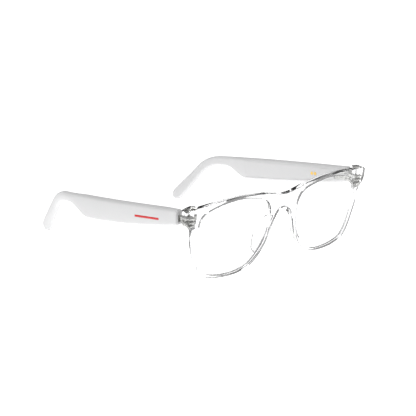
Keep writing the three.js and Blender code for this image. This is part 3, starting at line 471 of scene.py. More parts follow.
def floor_material(color, glow):
    """Seamless pale paper with a painted glow (emission) so that shadows on it stay faint; the painted glow
    dims away from the middle.
    """
    material, tree, shader = principled("studio_paper", color, 0.9)
    shader.inputs["Specular IOR Level"].default_value = 0.1
    shader.inputs["Emission Strength"].default_value = glow
    # Painted pool of light: the glow is full within a metre of the middle and dims to a third by 2.2 metres.
    distance = tree.nodes.new("ShaderNodeVectorMath")
    distance.operation = "LENGTH"
    tree.links.new(place_of(tree, 1), distance.inputs[0])
    away = ranged(tree, distance.outputs["Value"], 0, 1, 1.0, 2.2)
    fade = tinted(tree, away, (1, 1, 1), (0.3, 0.3, 0.3), 0, 1)
    tree.links.new(fade, shader.inputs["Emission Color"])
    bumped(tree, shader, noise(tree, 0.5, 3), 0.04, 0.05)
    return material


MADE = {}


def shared(name, maker, *values):
    """A material that several pieces use, made once."""
    if name not in MADE:
        MADE[name] = maker(*values)
    return MADE[name]


def nickel():
    return shared("nickel", metal, "nickel_silver", (0.62, 0.62, 0.6), 0.26, (900, 900, 5200))


def dress(node, material, bevel=0):
    """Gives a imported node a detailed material, and rounds its edges."""
    piece = frame["nodes"][node]
    piece.data.materials.clear()
    piece.data.materials.append(material)
    if bevel:
        round_edges(piece, bevel)


# ---- The front -----------------------------------------------------------------------------------
def lens_anchor(u, w):
    return np.array([u * LENS_WIDTH / 2, w * LENS_HEIGHT / 2])


def rim_anchors():
    """The rim's outer edge beside each lens anchor, or None where the front leaves the lens."""
    made = []
    for i, (u, w, rim) in enumerate(LENS_SHAPE):
        before, after = LENS_SHAPE[i - 1], LENS_SHAPE[(i + 1) % len(LENS_SHAPE)]
        along = lens_anchor(*after[:2]) - lens_anchor(*before[:2])
        along /= np.linalg.norm(along)
        x, v = lens_anchor(u, w) + rim * np.array([-along[1], along[0]])
        made.append((LENS_X + x, LENS_V + v) if rim else None)
    return made


def front_outline(per_span):
    """The front's outer edge in its own plane."""
    rim = rim_anchors()
    upper = [p for p in rim[:6] if p]
    lower = [p for p in rim[6:] if p]
    half = [
        (0, LENS_TOP - BROW_DIP), (0.36 * BRIDGE_WIDTH, LENS_TOP - 0.55 * BROW_DIP),
        (0.68 * BRIDGE_WIDTH, LENS_TOP + 0.2), *upper,
        (FRONT_HALF - END_REACH - 2, LENS_TOP + 0.2), (FRONT_HALF - 1, END_TOP),
        (FRONT_HALF, END_TOP - 0.9), (FRONT_HALF, END_LOW + 2.4), (FRONT_HALF - 0.9, END_LOW - 0.3),
        (FRONT_HALF - 3, END_LOW - 1.9), (FRONT_HALF - 4.2, END_LOW - 3.7), *lower,
        BRIDGE_SHOULDER, (0.17 * BRIDGE_WIDTH, ARCH_TOP - 1.2), (0, ARCH_TOP),
    ]
    mirrored = [(-x, v) for x, v in half[-2:0:-1]]
    return turning_left(closed_curve(half + mirrored, per_span))


def lens_outline(side, growth, per_span):
    """A lens's edge in the front's plane, grown outwards."""
    loop = closed_curve([lens_anchor(u, w) for u, w, _ in LENS_SHAPE], per_span)
    loop = loop * (1 + 2 * growth / LENS_WIDTH, 1 + 2 * growth / LENS_HEIGHT)
    return turning_left((loop + (LENS_X, LENS_V)) * (side, 1))


def back_depth(points):
    """How far the front's back lies behind its face: deeper, and flat, where the hinge is anchored."""
    x, v = np.abs(points[:, 0]), points[:, 1]
    deep = ease((x - BLOCK_SIDE + BLOCK_STEP) / BLOCK_STEP)
    deep = deep * ease((v - END_LOW + END_SKIRT) / BLOCK_FADE)
    flush = END_BACK - wrap_at(x) - BLOCK_GAP
    return RIM_DEPTH + deep * (flush - RIM_DEPTH)


def edge_profile(radius, steps=4):
    """A rounded edge from the flat face outwards: inset and depth."""
    angles = np.linspace(0, math.pi / 2, steps + 1)
    return [(radius * (1 - math.sin(a)), radius * (1 - math.cos(a))) for a in angles]


class BuildFront(bpy.types.Operator):
    """Build the clear front with its rounded rims, lens grooves, bridge and end pieces"""

    bl_idname = "glasses.build_front"
    bl_label = "Clear front"

    def execute(self, context):
        s = context.scene.glasses_front
        outer = front_outline(10)
        loops = [(outer, s.edge_radius, 1)]
        loops += [(lens_outline(side, 0, 12), s.lens_edge_radius, -1) for _, side in SIDES]
        far = LENS_INSET + LENS_THICKNESS
        groove = (LENS_EDGE + LENS_PLAY, LENS_INSET - LENS_PLAY, far + LENS_PLAY)
        points, faces, face_rings, back_rings = [], [], [], []
        for loop, radius, way in loops:
            profile = edge_profile(radius)
            front = [(inset(loop, way * o), d, False) for o, d in profile]
            back = [(inset(loop, way * o), d, True) for o, d in reversed(profile)]
            wall = [(loop, 0.5 * RIM_DEPTH, False)]
            if way < 0:
                deep = inset(loop, -groove[0])
                wall = [(loop, groove[1], False), (deep, groove[1], False),
                        (deep, groove[2], False), (loop, groove[2], False)]
            levels = front + wall + back
            first = len(points)
            for ring, d, from_back in levels:
                depth = back_depth(ring) - d if from_back else np.full(len(ring), d)
                points += [(x, v, z) for (x, v), z in zip(ring, depth)]
            count = len(loop)
            faces += tube_faces(len(levels), count, first, closed_ends=False)
            face_rings.append((levels[0][0], first))
            back_rings.append(first + (len(levels) - 1) * count)
        faces += flat_faces(points, face_rings, back_rings)
        bent = [(x, v, -d - wrap_at(x)) for x, v, d in points]
        material = shared("clear", clear_plastic, tuple(s.color), s.ior)
        piece = new_piece("clear_front", bent, faces, FRONT, "front", material)
        piece.visible_shadow = False
        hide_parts("front_frame")
        return {"FINISHED"}


def flat_faces(points, face_rings, back_rings):
    """Triangles over the flat of the front's face and, in the same pattern, over its back."""
    rings = [ring for ring, _ in face_rings]
    grid = []
    # A coarse grid over the upper front, and a fine one where the end pieces deepen.
    for step, low, high in (
        (COARSE_PITCH, (0, 20), (FRONT_HALF, LENS_TOP)),
        (FINE_PITCH, (BLOCK_SIDE - 1.45, 31), (BLOCK_SIDE + 0.35, LENS_TOP)),
    ):
        x = np.arange(low[0], high[0], step)
        v = np.arange(low[1], high[1], step)
        half = np.array(np.meshgrid(x, v)).reshape(2, -1).T
        grid += [half, (half * (-1, 1))[half[:, 0] > step / 2]]
    grid = np.vstack(grid)
    clear = inside(grid, inset(rings[0], 0.3))
    for ring in rings[1:]:
        clear &= ~inside(grid, inset(ring, -0.3))
    grid = grid[clear]
    numbers, flat, edges = [], [], []
    for (ring, first), back in zip(face_rings, back_rings):
        start = len(flat)
        flat += [tuple(p) for p in ring]
        edges += [(start + i, start + (i + 1) % len(ring)) for i in range(len(ring))]
        numbers += [(first + i, back + i) for i in range(len(ring))]
    for p, depth in zip(grid, back_depth(grid)):
        flat.append(tuple(p))
        numbers.append((len(points), len(points) + 1))
        points += [(p[0], p[1], 0), (p[0], p[1], depth)]
    found = delaunay_2d_cdt([Vector(p) for p in flat], edges, [], 0, 1e-5)
    triangles, origin = np.array(found[2]), [o[0] for o in found[3]]
    middles = np.array(flat)[np.array(origin)[triangles]].mean(1)
    kept = inside(middles, rings[0])
    for ring in rings[1:]:
        kept &= ~inside(middles, ring)
    triangles = [[origin[i] for i in t] for t in triangles[kept]]
    face = [tuple(numbers[i][0] for i in t) for t in triangles]
    back = [tuple(numbers[i][1] for i in reversed(t)) for t in triangles]
    return face + back


class BuildLenses(bpy.types.Operator):
    """Build the two lenses, slightly domed, with a ground edge that sits in the rim's groove"""

    bl_idname = "glasses.build_lenses"
    bl_label = "Lenses"

    def execute(self, context):
        s = context.scene.glasses_lenses
        material = shared("lens", lens_material, tuple(s.color), s.ior)
        shares = (0.04, 0.15, 0.3, 0.45, 0.6, 0.75, 0.88, 0.96, 0.99)
        near, far = LENS_INSET, LENS_INSET + LENS_THICKNESS
        for name, side in SIDES:
            loop = lens_outline(side, LENS_EDGE, 12)
            middle = np.array((side * LENS_X, LENS_V))
            rings = [(share, near - s.dome * (1 - share**2)) for share in shares]
            rings += [(1, near + LENS_BAND), (1, far - LENS_BAND)]
            rings += [(share, far - s.dome * (1 - share**2)) for share in reversed(shares)]
            points = []
            for share, depth in rings:
                flat = middle + share * (loop - middle)
                points += [(x, v, -depth - wrap_at(x)) for x, v in flat]
            faces = tube_faces(len(rings), len(loop))
            piece = new_piece(f"clear_lens_{name}", points, faces, FRONT, "front", material)
            piece.visible_shadow = False
            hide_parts(f"lens_{name}")
        return {"FINISHED"}


class BuildNosePads(bpy.types.Operator):
    """Build the clear pads behind the bridge, deepest at their middle and splayed towards the lenses"""

    bl_idname = "glasses.build_nose_pads"
    bl_label = "Nose pads"

    def execute(self, context):
        s = context.scene.glasses_front
        rim = rim_anchors()
        path = open_curve([BRIDGE_SHOULDER, *reversed(rim[17:20])], 33)
        along = np.gradient(path, axis=0)
        along /= np.linalg.norm(along, axis=1)[:, None]
        around = np.linspace(0, 2 * math.pi, 28, endpoint=False)
        material = shared("clear", clear_plastic, tuple(s.color), s.ior)
        for name, side in SIDES:
            points = []
            for i, (place, (ax, av)) in enumerate(zip(path, along)):
                t = i / (len(path) - 1)
                fade = min(1, math.sin(math.pi * t) / 0.25) ** 0.5
                deep = PAD_DEPTH * (0.35 * fade + 0.65 * math.sin(math.pi * t)) + 0.12
                for angle in around:
                    c, si = math.cos(angle), math.sin(angle)
                    across = PAD_THICKNESS / 2 * fade * math.copysign(abs(c) ** 0.55, c)
                    back = deep / 2 * (1 + math.copysign(abs(si) ** 0.55, si))
                    across += PAD_INSET + PAD_THICKNESS / 2 + PAD_SPLAY * back
                    x = place[0] - av * across
                    v = place[1] + ax * across
                    points.append((side * x, v, -RIM_DEPTH - PAD_GAP - back - wrap_at(x)))
            faces = tube_faces(len(path), len(around))
            piece = new_piece(f"clear_pad_{name}", points, faces, FRONT, "front", material,
                              sharp=60)
            piece.visible_shadow = False
            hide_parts(f"nose_pad_{name}")
        return {"FINISHED"}


# ---- Hinges --------------------------------------------------------------------------------------
def lathe(profile, sides):
    """Rings of a turned piece about the upright axis, from radius and height pairs."""
    turn = np.linspace(0, 2 * math.pi, sides, endpoint=False)
    return [(r * math.cos(a), h, r * math.sin(a)) for r, h in profile for a in turn]


class BuildHinges(bpy.types.Operator):
    """Build the slotted hinge screws, and finish the metal hinge leaves and their small screws"""

    bl_idname = "glasses.build_hinges"
    bl_label = "Hinges"

    def execute(self, context):
        top = BARREL_HALF + SCREW_RISE
        profile = [
            (0.02, -BARREL_HALF), (0.45, -BARREL_HALF), (PIN_RADIUS, -BARREL_HALF + 0.25),
            (PIN_RADIUS, top), (1.1, top), (1.2, top + 0.1), (1.2, top + 0.3), (1.05, top + 0.45),
            (0.6, top + SCREW_HEAD), (0.02, top + SCREW_HEAD),
        ]
        points = lathe(profile, 36)
        for name, side in SIDES:
            place = FRONT @ Matrix.Translation((side * HINGE_X, HINGE_V, -END_BACK - HINGE_GAP / 2))
            piece = new_piece(f"slotted_screw_{name}", points, tube_faces(len(profile), 36), place,
                              "front", nickel())
            blade = bmesh.new()
            head = place @ Matrix.Translation((0, top + SCREW_HEAD, 0))
            bmesh.ops.create_cube(blade, size=1, matrix=head @ Matrix.Diagonal((*SCREW_SLOT, 1)))
            mesh = bpy.data.meshes.new("screw_slot")
            blade.to_mesh(mesh)
            blade.free()
            tool = bpy.data.objects.new("screw_slot", mesh)
            context.scene.collection.objects.link(tool)
            subtract(piece, [tool])
            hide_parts(f"hinge_screw_{name}")
            dress(f"hinge_front_leaf_{name}", nickel(), 0.12)
            dress(f"hinge_temple_leaf_{name}", nickel(), 0.12)
            for number in (1, 2):
                dress(f"hinge_leaf_screw_{number}_{name}", nickel(), 0.1)
        return {"FINISHED"}


# ---- Temples -------------------------------------------------------------------------------------
def outer_x(y):
    return TEMPLE_OUTER - SWEEP * (max(y, 0) / TEMPLE_END) ** SWEEP_POWER


def bottom_z(y):
    rise = np.clip((BAY_END - y) / BAY_LENGTH, 0, 1) ** 2
    bay = TEMPLE_TOP - BAY_HEIGHT + (BAY_HEIGHT - FRONT_END_HEIGHT) * rise
    return float(bay + (TEMPLE_TOP - ARM_HEIGHT - bay) * ease((y - BAY_END) / STEP_LENGTH))


def thickness_at(y):
    swell = ease((y - TEMPLE_START) / POCKET_START)
    bay = FRONT_END_THICKNESS + (BAY_THICKNESS - FRONT_END_THICKNESS) * swell
    return float(bay + (ARM_THICKNESS - bay) * ease((y - BAY_END) / STEP_LENGTH))


def corner(depth, height, radius, start, steps=6):
    """An arc about a corner's centre, as depth from the outer side and height."""
    angles = np.radians(np.linspace(start, start + 90, steps + 1))
    return [(depth - radius * math.cos(a), height + radius * math.sin(a)) for a in angles]


def crowned(depth, share, crown):
    """The outer side bulges by the crown at mid height; share runs from -1 to 1."""
    return depth - crown * (1 - share * share)


def temple_section(thickness, low, high, crown, radius, cuts, shrink=0):
    """A temple's outline in depth and height. Cuts are recesses: strip, pocket, ledge and grille."""
    middle = (low + high) / 2
    near, far = shrink, thickness - shrink
    low, high = low + shrink, high - shrink
    r = min(radius, 0.45 * (far - near), 0.45 * (high - low))
    half = (high - low) / 2
    strip = cuts.get("strip", 0)
    z_strip = cuts.get("strip_z", middle)
    s_low = z_strip - STRIP_HEIGHT / 2 - STRIP_PLAY
    s_high = z_strip + STRIP_HEIGHT / 2 + STRIP_PLAY

    def outer(z):
        share = np.clip((z - middle) / max(half - r, 0.1), -1, 1)
        return crowned(near, share, crown)

    points = corner(near + r, low + r, r, -90)
    points += [(outer(z), z) for z in np.linspace(low + r, s_low, 5)[1:]]
    points += [(outer(s_low) + strip, s_low), (outer(s_high) + strip, s_high)]
    points += [(outer(z), z) for z in np.linspace(s_high, high - r, 5)[:-1]]
    points += corner(near + r, high - r, r, 0)
    points += corner(far - r, high - r, r, 90)
    wall = cuts.get("wall", far)
    ledge = cuts.get("ledge", far)
    in_low, in_high = cuts.get("inner", (middle - 0.4, middle + 0.4))
    out_low, out_high = cuts.get("rebate", (in_low - 0.1, in_high + 0.1))
    points += [(far, out_high), (ledge, out_high), (ledge, in_high), (wall, in_high),
               (wall, in_low), (ledge, in_low), (ledge, out_low), (far, out_low)]
    points += corner(far - r, low + r, r, 180)
    floor = low + cuts.get("grille", 0)
    narrow = min(GRILLE_WIDTH, 0.5 * (far - near - 2 * r)) / 2 + GRILLE_PLAY
    wide = cuts.get("grille_wide", narrow)
    centre = thickness / 2
    points += [(centre + wide, low), (centre + wide, floor),
               (centre - wide, floor), (centre - wide, low)]
    return points


def bay_cuts(y, grille_on, strip_on, pocket_on, ledge_on, slot_on):
    """What is cut out of a temple's section at a distance back."""
    cuts = {"strip_z": STRIP_Z if y < BAY_END else (bottom_z(y) + TEMPLE_TOP) / 2}
    thickness = thickness_at(y)
    low, high = bottom_z(y) + EDGE_WALL, TEMPLE_TOP - EDGE_WALL
    if strip_on:
        cuts["strip"] = STRIP_THICKNESS + STRIP_PLAY
    if ledge_on or pocket_on:
        cuts["rebate"] = (low - LEDGE, high + LEDGE)
        cuts["inner"] = (low, high)
        cuts["ledge"] = thickness - COVER_THICKNESS - SEAT_PLAY
        cuts["wall"] = OUTER_WALL if pocket_on else cuts["ledge"]
    elif slot_on:
        half = HOUSING_HEIGHT / 2
        cuts["inner"] = (HINGE.z - half - HOUSING_PLAY, HINGE.z + half + HOUSING_PLAY)
        cuts["rebate"] = (cuts["inner"][0] - 0.01, cuts["inner"][1] + 0.01)
        cuts["wall"] = TEMPLE_OUTER - (HINGE_X + HOUSING_OUTER_INSET) - HOUSING_PLAY
    elif y < POCKET_TO + LEDGE:
        cuts["rebate"] = (low - LEDGE, high + LEDGE)
        cuts["inner"] = (low, high)
    if grille_on:
        cuts["grille"] = GRILLE_RECESS
    if y <= POCKET_TO:
        cuts["grille_wide"] = GRILLE_WIDTH / 2 + GRILLE_PLAY
    return cuts


def straight_rings(s):
    """Rings of the straight part of a temple, with a pair of rings wherever a recess starts or ends."""
    half = GRILLE_LENGTH / 2 + GRILLE_END_PLAY
    slot_end = HINGE.y + KNUCKLE_RADIUS + HOUSING_SETBACK + HOUSING_LENGTH + HOUSING_END_PLAY
    ranges = {
        "grille_on": (GRILLE_Y - half, GRILLE_Y + half),
        "strip_on": (STRIP_FROM - STRIP_PLAY, STRIP_FROM + STRIP_LENGTH + STRIP_PLAY),
        "pocket_on": (POCKET_FROM, POCKET_TO),
        "ledge_on": (POCKET_FROM - LEDGE, POCKET_TO + LEDGE),
        "slot_on": (TEMPLE_START - 1, slot_end),
    }
    breaks = sorted({TEMPLE_START, HOOK_START, *(v for r in ranges.values() for v in r)})
    breaks = [b for b in breaks if b >= TEMPLE_START]
    rings = []
    for start, end in zip(breaks, breaks[1:]):
        middle = (start + end) / 2
        on = {key: low < middle < high for key, (low, high) in ranges.items()}
        count = max(1, math.ceil((end - start) / STATION_PITCH))
        places = list(np.linspace(start, end, count + 1))
        if start == TEMPLE_START:
            places[1:1] = [start + 0.12, start + 0.3, start + END_ROUND]
        for y in sorted(places):
            short = 1 - min(1, (y - TEMPLE_START) / END_ROUND)
            lip = END_ROUND * (1 - math.sqrt(max(0, 1 - short**2)))
            low, high = bottom_z(y), TEMPLE_TOP
            lean = math.tan(END_MITRE) * max(0, 1 - (y - TEMPLE_START) / POCKET_START)
            crown = s.crown * ease((y - TEMPLE_START) / CROWN_RUN)
            section = temple_section(thickness_at(y), low, high, crown, s.edge_radius,
                                     bay_cuts(y, **on), lip)
            middle_z = (low + high) / 2
            rings.append([(outer_x(y) - d, y - lean * (z - middle_z), z) for d, z in section])
    return rings


def hook_rings(s):
    """Rings of the ear hook, square to its middle line."""
    middle = TEMPLE_TOP - ARM_HEIGHT / 2
    places = []
    for angle in np.linspace(0, HOOK_ANGLE, 19)[1:]:
        y = HOOK_START + HOOK_RADIUS * math.sin(angle)
        z = middle - HOOK_RADIUS * (1 - math.cos(angle))
        places.append((y, z, angle, ARM_HEIGHT, ARM_THICKNESS))
    from_y = HOOK_START + HOOK_RADIUS * math.sin(HOOK_ANGLE)
    from_z = middle - HOOK_RADIUS * (1 - math.cos(HOOK_ANGLE))
    for share in np.linspace(0, 1, 14)[1:]:
        run = share * HOOK_LENGTH
        height = ARM_HEIGHT + (TIP_HEIGHT - ARM_HEIGHT) * ease(share)
        places.append((from_y + run * math.cos(HOOK_ANGLE), from_z - run * math.sin(HOOK_ANGLE),
                       HOOK_ANGLE, height, ARM_THICKNESS))
    for turn in (0.12, 0.24, 0.36, 0.48, 0.6, 0.7, 0.79, 0.87, 0.93, 0.97):
        angle = turn * math.pi / 2
        run = HOOK_LENGTH + TIP_HEIGHT / 2 * math.sin(angle)
        thick = ARM_THICKNESS * (0.4 + 0.6 * math.cos(angle) ** 0.7)
        places.append((from_y + run * math.cos(HOOK_ANGLE), from_z - run * math.sin(HOOK_ANGLE),
                       HOOK_ANGLE, TIP_HEIGHT * math.cos(angle), thick))
    rings = []
    for y, z, heading, height, thickness in places:
        cuts = {"strip_z": 0}
        section = temple_section(thickness, -height / 2, height / 2, min(s.crown, 0.04 * height),
                                 s.edge_radius, cuts)
        rings.append([
            (outer_x(y) - (ARM_THICKNESS - thickness) / 2 - d, y + up * math.sin(heading),
             z + up * math.cos(heading)) for d, up in section
        ])
    return rings


def mirrored(points, side):
    return [(side * x, y, z) for x, y, z in points]


class BuildTemples(bpy.types.Operator):
    """Build the hollow temple shells with their ear hooks, and the inner covers that close their bays"""

    bl_idname = "glasses.build_temples"
    bl_label = "Temples"

    def execute(self, context):
        s = context.scene.glasses_temples
        rings = straight_rings(s) + hook_rings(s)
        count = len(rings[0])
        if any(len(ring) != count for ring in rings):
            raise RuntimeError("temple sections differ in their point counts")
        points = [p for ring in rings for p in ring]
        faces = tube_faces(len(rings), count)
        material = shared("temple", temple_material, tuple(s.color))
        for name, side in SIDES:
            body = f"temple_{name}"
            shell = new_piece(f"temple_body_{name}", mirrored(points, side), faces, WORN, body, material,
                              sharp=32)
            y = POCKET_FROM + MIC_FROM_POCKET
            port = WORN @ Matrix.Translation((side * (outer_x(y) - MIC_DEPTH), y, bottom_z(y)))
            subtract(shell, [round_tool("port", port.normalized(), PORT_RADIUS, 3)])
            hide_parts(f"temple_shell_{name}")
            cover = self.cover(name, side, material)
            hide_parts(f"temple_cover_{name}")
        return {"FINISHED"}

    @staticmethod
    def cover(name, side, material):
        """The inner cover: a thin panel flush with the temple, with a hole round each contact."""
        play = COVER_PLAY
        points = []
        stations = np.linspace(POCKET_FROM - LEDGE + play, POCKET_TO + LEDGE - play, 46)
        for y in stations:
            low = bottom_z(y) + EDGE_WALL - LEDGE + play
            high = TEMPLE_TOP - EDGE_WALL + LEDGE - play
            inner, face = thickness_at(y) - COVER_THICKNESS, thickness_at(y)
            edge = COVER_CHAMFER
            section = [(inner, low), (face - edge, low), (face, low + edge), (face, high - edge),
                       (face - edge, high), (inner, high)]
            points += [(side * (outer_x(y) - d), y, z) for d, z in section]
        cover = new_piece(f"temple_panel_{name}", points, tube_faces(len(stations), 6), WORN,
                          f"temple_{name}", material, sharp=30)
        tools = []
        for number in (1, 2):
            low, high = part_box(f"charge_contact_{number}_{name}")
            centre = (low + high) / 2
            place = Matrix.Translation(centre) @ Matrix.Rotation(math.pi / 2, 4, "Y")
            tools.append(round_tool("contact_hole", place, CONTACT_RADIUS + CONTACT_PLAY, 8))
        subtract(cover, tools)
        return cover


class BuildStrips(bpy.types.Operator):
    """Build the red accent strips, set into the temples' outer sides"""

    bl_idname = "glasses.build_strips"
    bl_label = "Accent strips"

    def execute(self, context):
        s = context.scene.glasses_temples
        material = shared("accent", accent_material, tuple(s.accent_color))
        for name, side in SIDES:
            points = []
            stations = np.linspace(STRIP_FROM, STRIP_FROM + STRIP_LENGTH, 24)
            for y in stations:
                middle = (bottom_z(y) + TEMPLE_TOP) / 2
                half = (TEMPLE_TOP - bottom_z(y)) / 2 - s.edge_radius
                crown = float(s.crown * ease((y - TEMPLE_START) / CROWN_RUN))
                face = crowned(0, (STRIP_Z - middle) / half, crown) - STRIP_RISE
                low, high = STRIP_Z - STRIP_HEIGHT / 2, STRIP_Z + STRIP_HEIGHT / 2
                edge, back = STRIP_CHAMFER, STRIP_THICKNESS + face
                section = [(back, low), (face + edge, low), (face, low + edge),
                           (face, high - edge), (face + edge, high), (back, high)]
                points += [(side * (outer_x(y) - d), y, z) for d, z in section]
            piece = new_piece(f"red_strip_{name}", points, tube_faces(len(stations), 6), WORN,
                              f"temple_{name}", material, sharp=50)
            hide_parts(f"accent_strip_{name}")
        return {"FINISHED"}


class FinishContacts(bpy.types.Operator):
    """Finish the gold charging contacts and the speaker grilles"""

    bl_idname = "glasses.finish_contacts"
    bl_label = "Contacts and grilles"

    def execute(self, context):
        gold = shared("gold", metal, "contact_gold", tuple(context.scene.glasses_temples.contact_color),
                      0.2, (3000, 3000, 3000), 0.004)
        paint = shared("grille", grille_material)
        for name, _ in SIDES:
            dress(f"charge_contact_1_{name}", gold, 0.2)
            dress(f"charge_contact_2_{name}", gold, 0.2)
            dress(f"speaker_grille_{name}", paint, 0.06)
        return {"FINISHED"}


class FinishElectronics(bpy.types.Operator):
    """Finish what the temples hold: boards, chips, films, batteries, speakers and magnets"""

    bl_idname = "glasses.finish_electronics"
    bl_label = "Electronics"

    def execute(self, context):
        can = shared("can", metal, "plated_can", (0.68, 0.69, 0.7), 0.3, (1500, 400, 1500), 0.02)
        black = shared("black", moulded_black)
        film = shared("film", film_material)
        board = shared("board", board_material)
        finishes = {
            "touch_sensor": film, "circuit_board": board, "bluetooth_chip": black, "microphone": can,
            "battery": can, "speaker": black, "speaker_flex": film, "charge_magnet_1": can,
            "charge_magnet_2": can,
        }
        for name, _ in SIDES:
            for node, material in finishes.items():
                dress(f"{node}_{name}", material, 0.08)
        return {"FINISHED"}


# ---- Studio --------------------------------------------------------------------------------------
FLOOR_REACH, FLOOR_SIDES, FLOOR_DROP = 6, 48, 0.00002
LIGHT_AIM = (0, 0, 0.03)
OVERHEAD_PLACE, OVERHEAD_SIZE = (0.1, 0.2, 1.2), 0.7
SIDE_PLACE, SIDE_SIZE = (-1.1, -0.3, 0.55), 0.5
CAMERA_PLACE, CAMERA_LENS, CAMERA_SENSOR = (-0.6904, -0.7336, 0.2982), 150.38, 36
CAMERA_RIGHT, CAMERA_UP = (0.7226, -0.6913, 0), (0.1849, 0.1932, 0.9636)


def area_light(name, place, aim, size, power):
    data = bpy.data.lights.new(name, "AREA")
    data.shape, data.size, data.energy = "DISK", size, power
    light = bpy.data.objects.new(name, data)
    light.location = place
    light.rotation_mode = "QUATERNION"
    light.rotation_quaternion = (Vector(aim) - Vector(place)).to_track_quat("-Z", "Y")
    bpy.context.scene.collection.objects.link(light)
    return light


def paint_world(scene, top, horizon):
    """A sky that fades from the horizon to the top."""
    world = bpy.data.worlds.new("studio")
    world.use_nodes = True
    tree = world.node_tree
    background = next(n for n in tree.nodes if n.type == "BACKGROUND")
    coordinates = tree.nodes.new("ShaderNodeTexCoord")
    axes = tree.nodes.new("ShaderNodeSeparateXYZ")
    ramp = tree.nodes.new("ShaderNodeValToRGB")
    stops = ramp.color_ramp.elements
    stops[0].position, stops[1].position = 0.0, 0.75
    stops[0].color, stops[1].color = (horizon, horizon, horizon, 1), (top, top, top, 1)
    tree.links.new(coordinates.outputs["Generated"], axes.inputs["Vector"])
    tree.links.new(axes.outputs["Z"], ramp.inputs["Fac"])
    tree.links.new(ramp.outputs["Color"], background.inputs["Color"])
    scene.world = world


class BuildStudio(bpy.types.Operator):
    """Set the pale floor, the soft lights and the camera"""

    bl_idname = "glasses.build_studio"
    bl_label = "Studio"

    def execute(self, context):
        s = context.scene.glasses_studio
        scene = context.scene
        mesh = bpy.data.meshes.new("floor")
        turn = np.linspace(0, 2 * math.pi, FLOOR_SIDES, endpoint=False)
        edge = [(FLOOR_REACH * math.cos(a), FLOOR_REACH * math.sin(a), 0) for a in turn]
        mesh.from_pydata(edge, [], [range(FLOOR_SIDES)])
        floor = bpy.data.objects.new("floor", mesh)
        floor.location.z = -FLOOR_DROP
        mesh.materials.append(floor_material(tuple(s.floor_color), s.floor_glow))
        scene.collection.objects.link(floor)
        paint_world(scene, s.sky_top, s.sky_horizon)
        area_light("overhead", OVERHEAD_PLACE, LIGHT_AIM, OVERHEAD_SIZE, s.key_power)
        area_light("side", SIDE_PLACE, LIGHT_AIM, SIDE_SIZE, s.key_power * s.side_share)
        camera = bpy.data.cameras.new("camera")
        camera.lens, camera.sensor_width, camera.clip_start = CAMERA_LENS, CAMERA_SENSOR, 0.05
        holder = bpy.data.objects.new("camera", camera)
        right, up = Vector(CAMERA_RIGHT), Vector(CAMERA_UP)
        turn = Matrix((right, up, right.cross(up))).transposed().to_4x4()
        holder.matrix_world = Matrix.Translation(CAMERA_PLACE) @ turn
        scene.collection.objects.link(holder)
        scene.camera = holder
        scene.view_settings.view_transform = "Standard"
        return {"FINISHED"}


# ---- Settings and panel --------------------------------------------------------------------------
def colour(name, description, default):
    return FloatVectorProperty(name=name, description=description, subtype="COLOR", size=3, min=0, max=1,
                               default=default)


class FrontSettings(bpy.types.PropertyGroup):
    color: colour("Plastic", "Tint of the clear front and pads", (0.99, 0.992, 0.995))
    ior: FloatProperty(name="Refraction", description="Index of refraction of the clear plastic",
                       default=1.49, min=1, max=2)
    edge_radius: FloatProperty(name="Edge radius", description="Rounding of the outer edges, in millimetres",
                               default=0.6, min=0.1, max=0.7)
    lens_edge_radius: FloatProperty(name="Lens edge radius",
                                    description="Rounding round the lenses, in millimetres", default=0.35,
                                    min=0.1, max=0.5)


class LensSettings(bpy.types.PropertyGroup):
    color: colour("Tint", "Tint of the lenses", (0.97, 0.97, 0.97))
    ior: FloatProperty(name="Refraction", description="Index of refraction of the lenses", default=1.5,
                       min=1, max=2)
    dome: FloatProperty(name="Dome", description="Rise of the lens at its middle, in millimetres",
                        default=0.6, min=0, max=0.8)


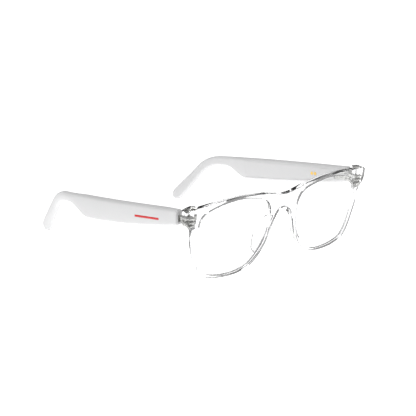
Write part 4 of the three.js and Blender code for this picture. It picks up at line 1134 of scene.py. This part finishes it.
class TempleSettings(bpy.types.PropertyGroup):
    color: colour("Shell", "Colour of the temples' satin plastic", (0.8, 0.8, 0.805))
    accent_color: colour("Accent", "Colour of the accent strips", (0.8, 0.004, 0.004))
    contact_color: colour("Contacts", "Colour of the charging contacts", (0.9, 0.6, 0.18))
    edge_radius: FloatProperty(name="Edge radius", description="Rounding of the temples, in millimetres",
                               default=1.5, min=0.3, max=2)
    crown: FloatProperty(name="Crown", description="Bulge of the temples' outer side, in millimetres",
                         default=0.25, min=0, max=0.5)


class StudioSettings(bpy.types.PropertyGroup):
    floor_color: colour("Floor", "Colour of the studio paper", (0.85, 0.85, 0.85))
    # Floor glow is painted light: the paper itself emits, which washes out the shadows on it.
    floor_glow: FloatProperty(name="Floor glow", description="Light from under the paper", default=0.75,
                              min=0, max=5)
    key_power: FloatProperty(name="Overhead light", description="Power of the main soft light", default=6,
                             min=0, max=200, subtype="POWER", unit="POWER")
    side_share: FloatProperty(name="Side light", description="Share of the main light's power", default=0.4,
                              min=0, max=2)
    sky_top: FloatProperty(name="Sky top", description="Brightness overhead", default=0.25, min=0, max=5)
    sky_horizon: FloatProperty(name="Sky horizon", description="Brightness at the horizon", default=0.35,
                               min=0, max=5)


SETTINGS = {
    "glasses_front": FrontSettings,
    "glasses_lenses": LensSettings,
    "glasses_temples": TempleSettings,
    "glasses_studio": StudioSettings,
}
OPERATORS = (
    BuildFront, BuildLenses, BuildNosePads, BuildHinges, BuildTemples, BuildStrips, FinishContacts,
    FinishElectronics, BuildStudio,
)


class GlassesPanel(bpy.types.Panel):
    """Lists the settings and the builders of the glasses"""

    bl_idname = "VIEW3D_PT_glasses"
    bl_label = "Glasses"
    bl_space_type = "VIEW_3D"
    bl_region_type = "UI"
    bl_category = "Glasses"

    def draw(self, context):
        for operator in OPERATORS:
            self.layout.operator(operator.bl_idname)
        for name, group in SETTINGS.items():
            box = self.layout.box()
            for prop in group.__annotations__:
                box.prop(getattr(context.scene, name), prop)


CLASSES = (*SETTINGS.values(), *OPERATORS, GlassesPanel)


def register():
    for cls in CLASSES:
        bpy.utils.register_class(cls)
    for name, group in SETTINGS.items():
        setattr(bpy.types.Scene, name, PointerProperty(type=group))


def unregister():
    for name in SETTINGS:
        delattr(bpy.types.Scene, name)
    for cls in reversed(CLASSES):
        bpy.utils.unregister_class(cls)


def main():
    register()
    for operator in OPERATORS:
        group, name = operator.bl_idname.split(".")
        getattr(getattr(bpy.ops, group), name)()


if __name__ == "__main__":
    main()
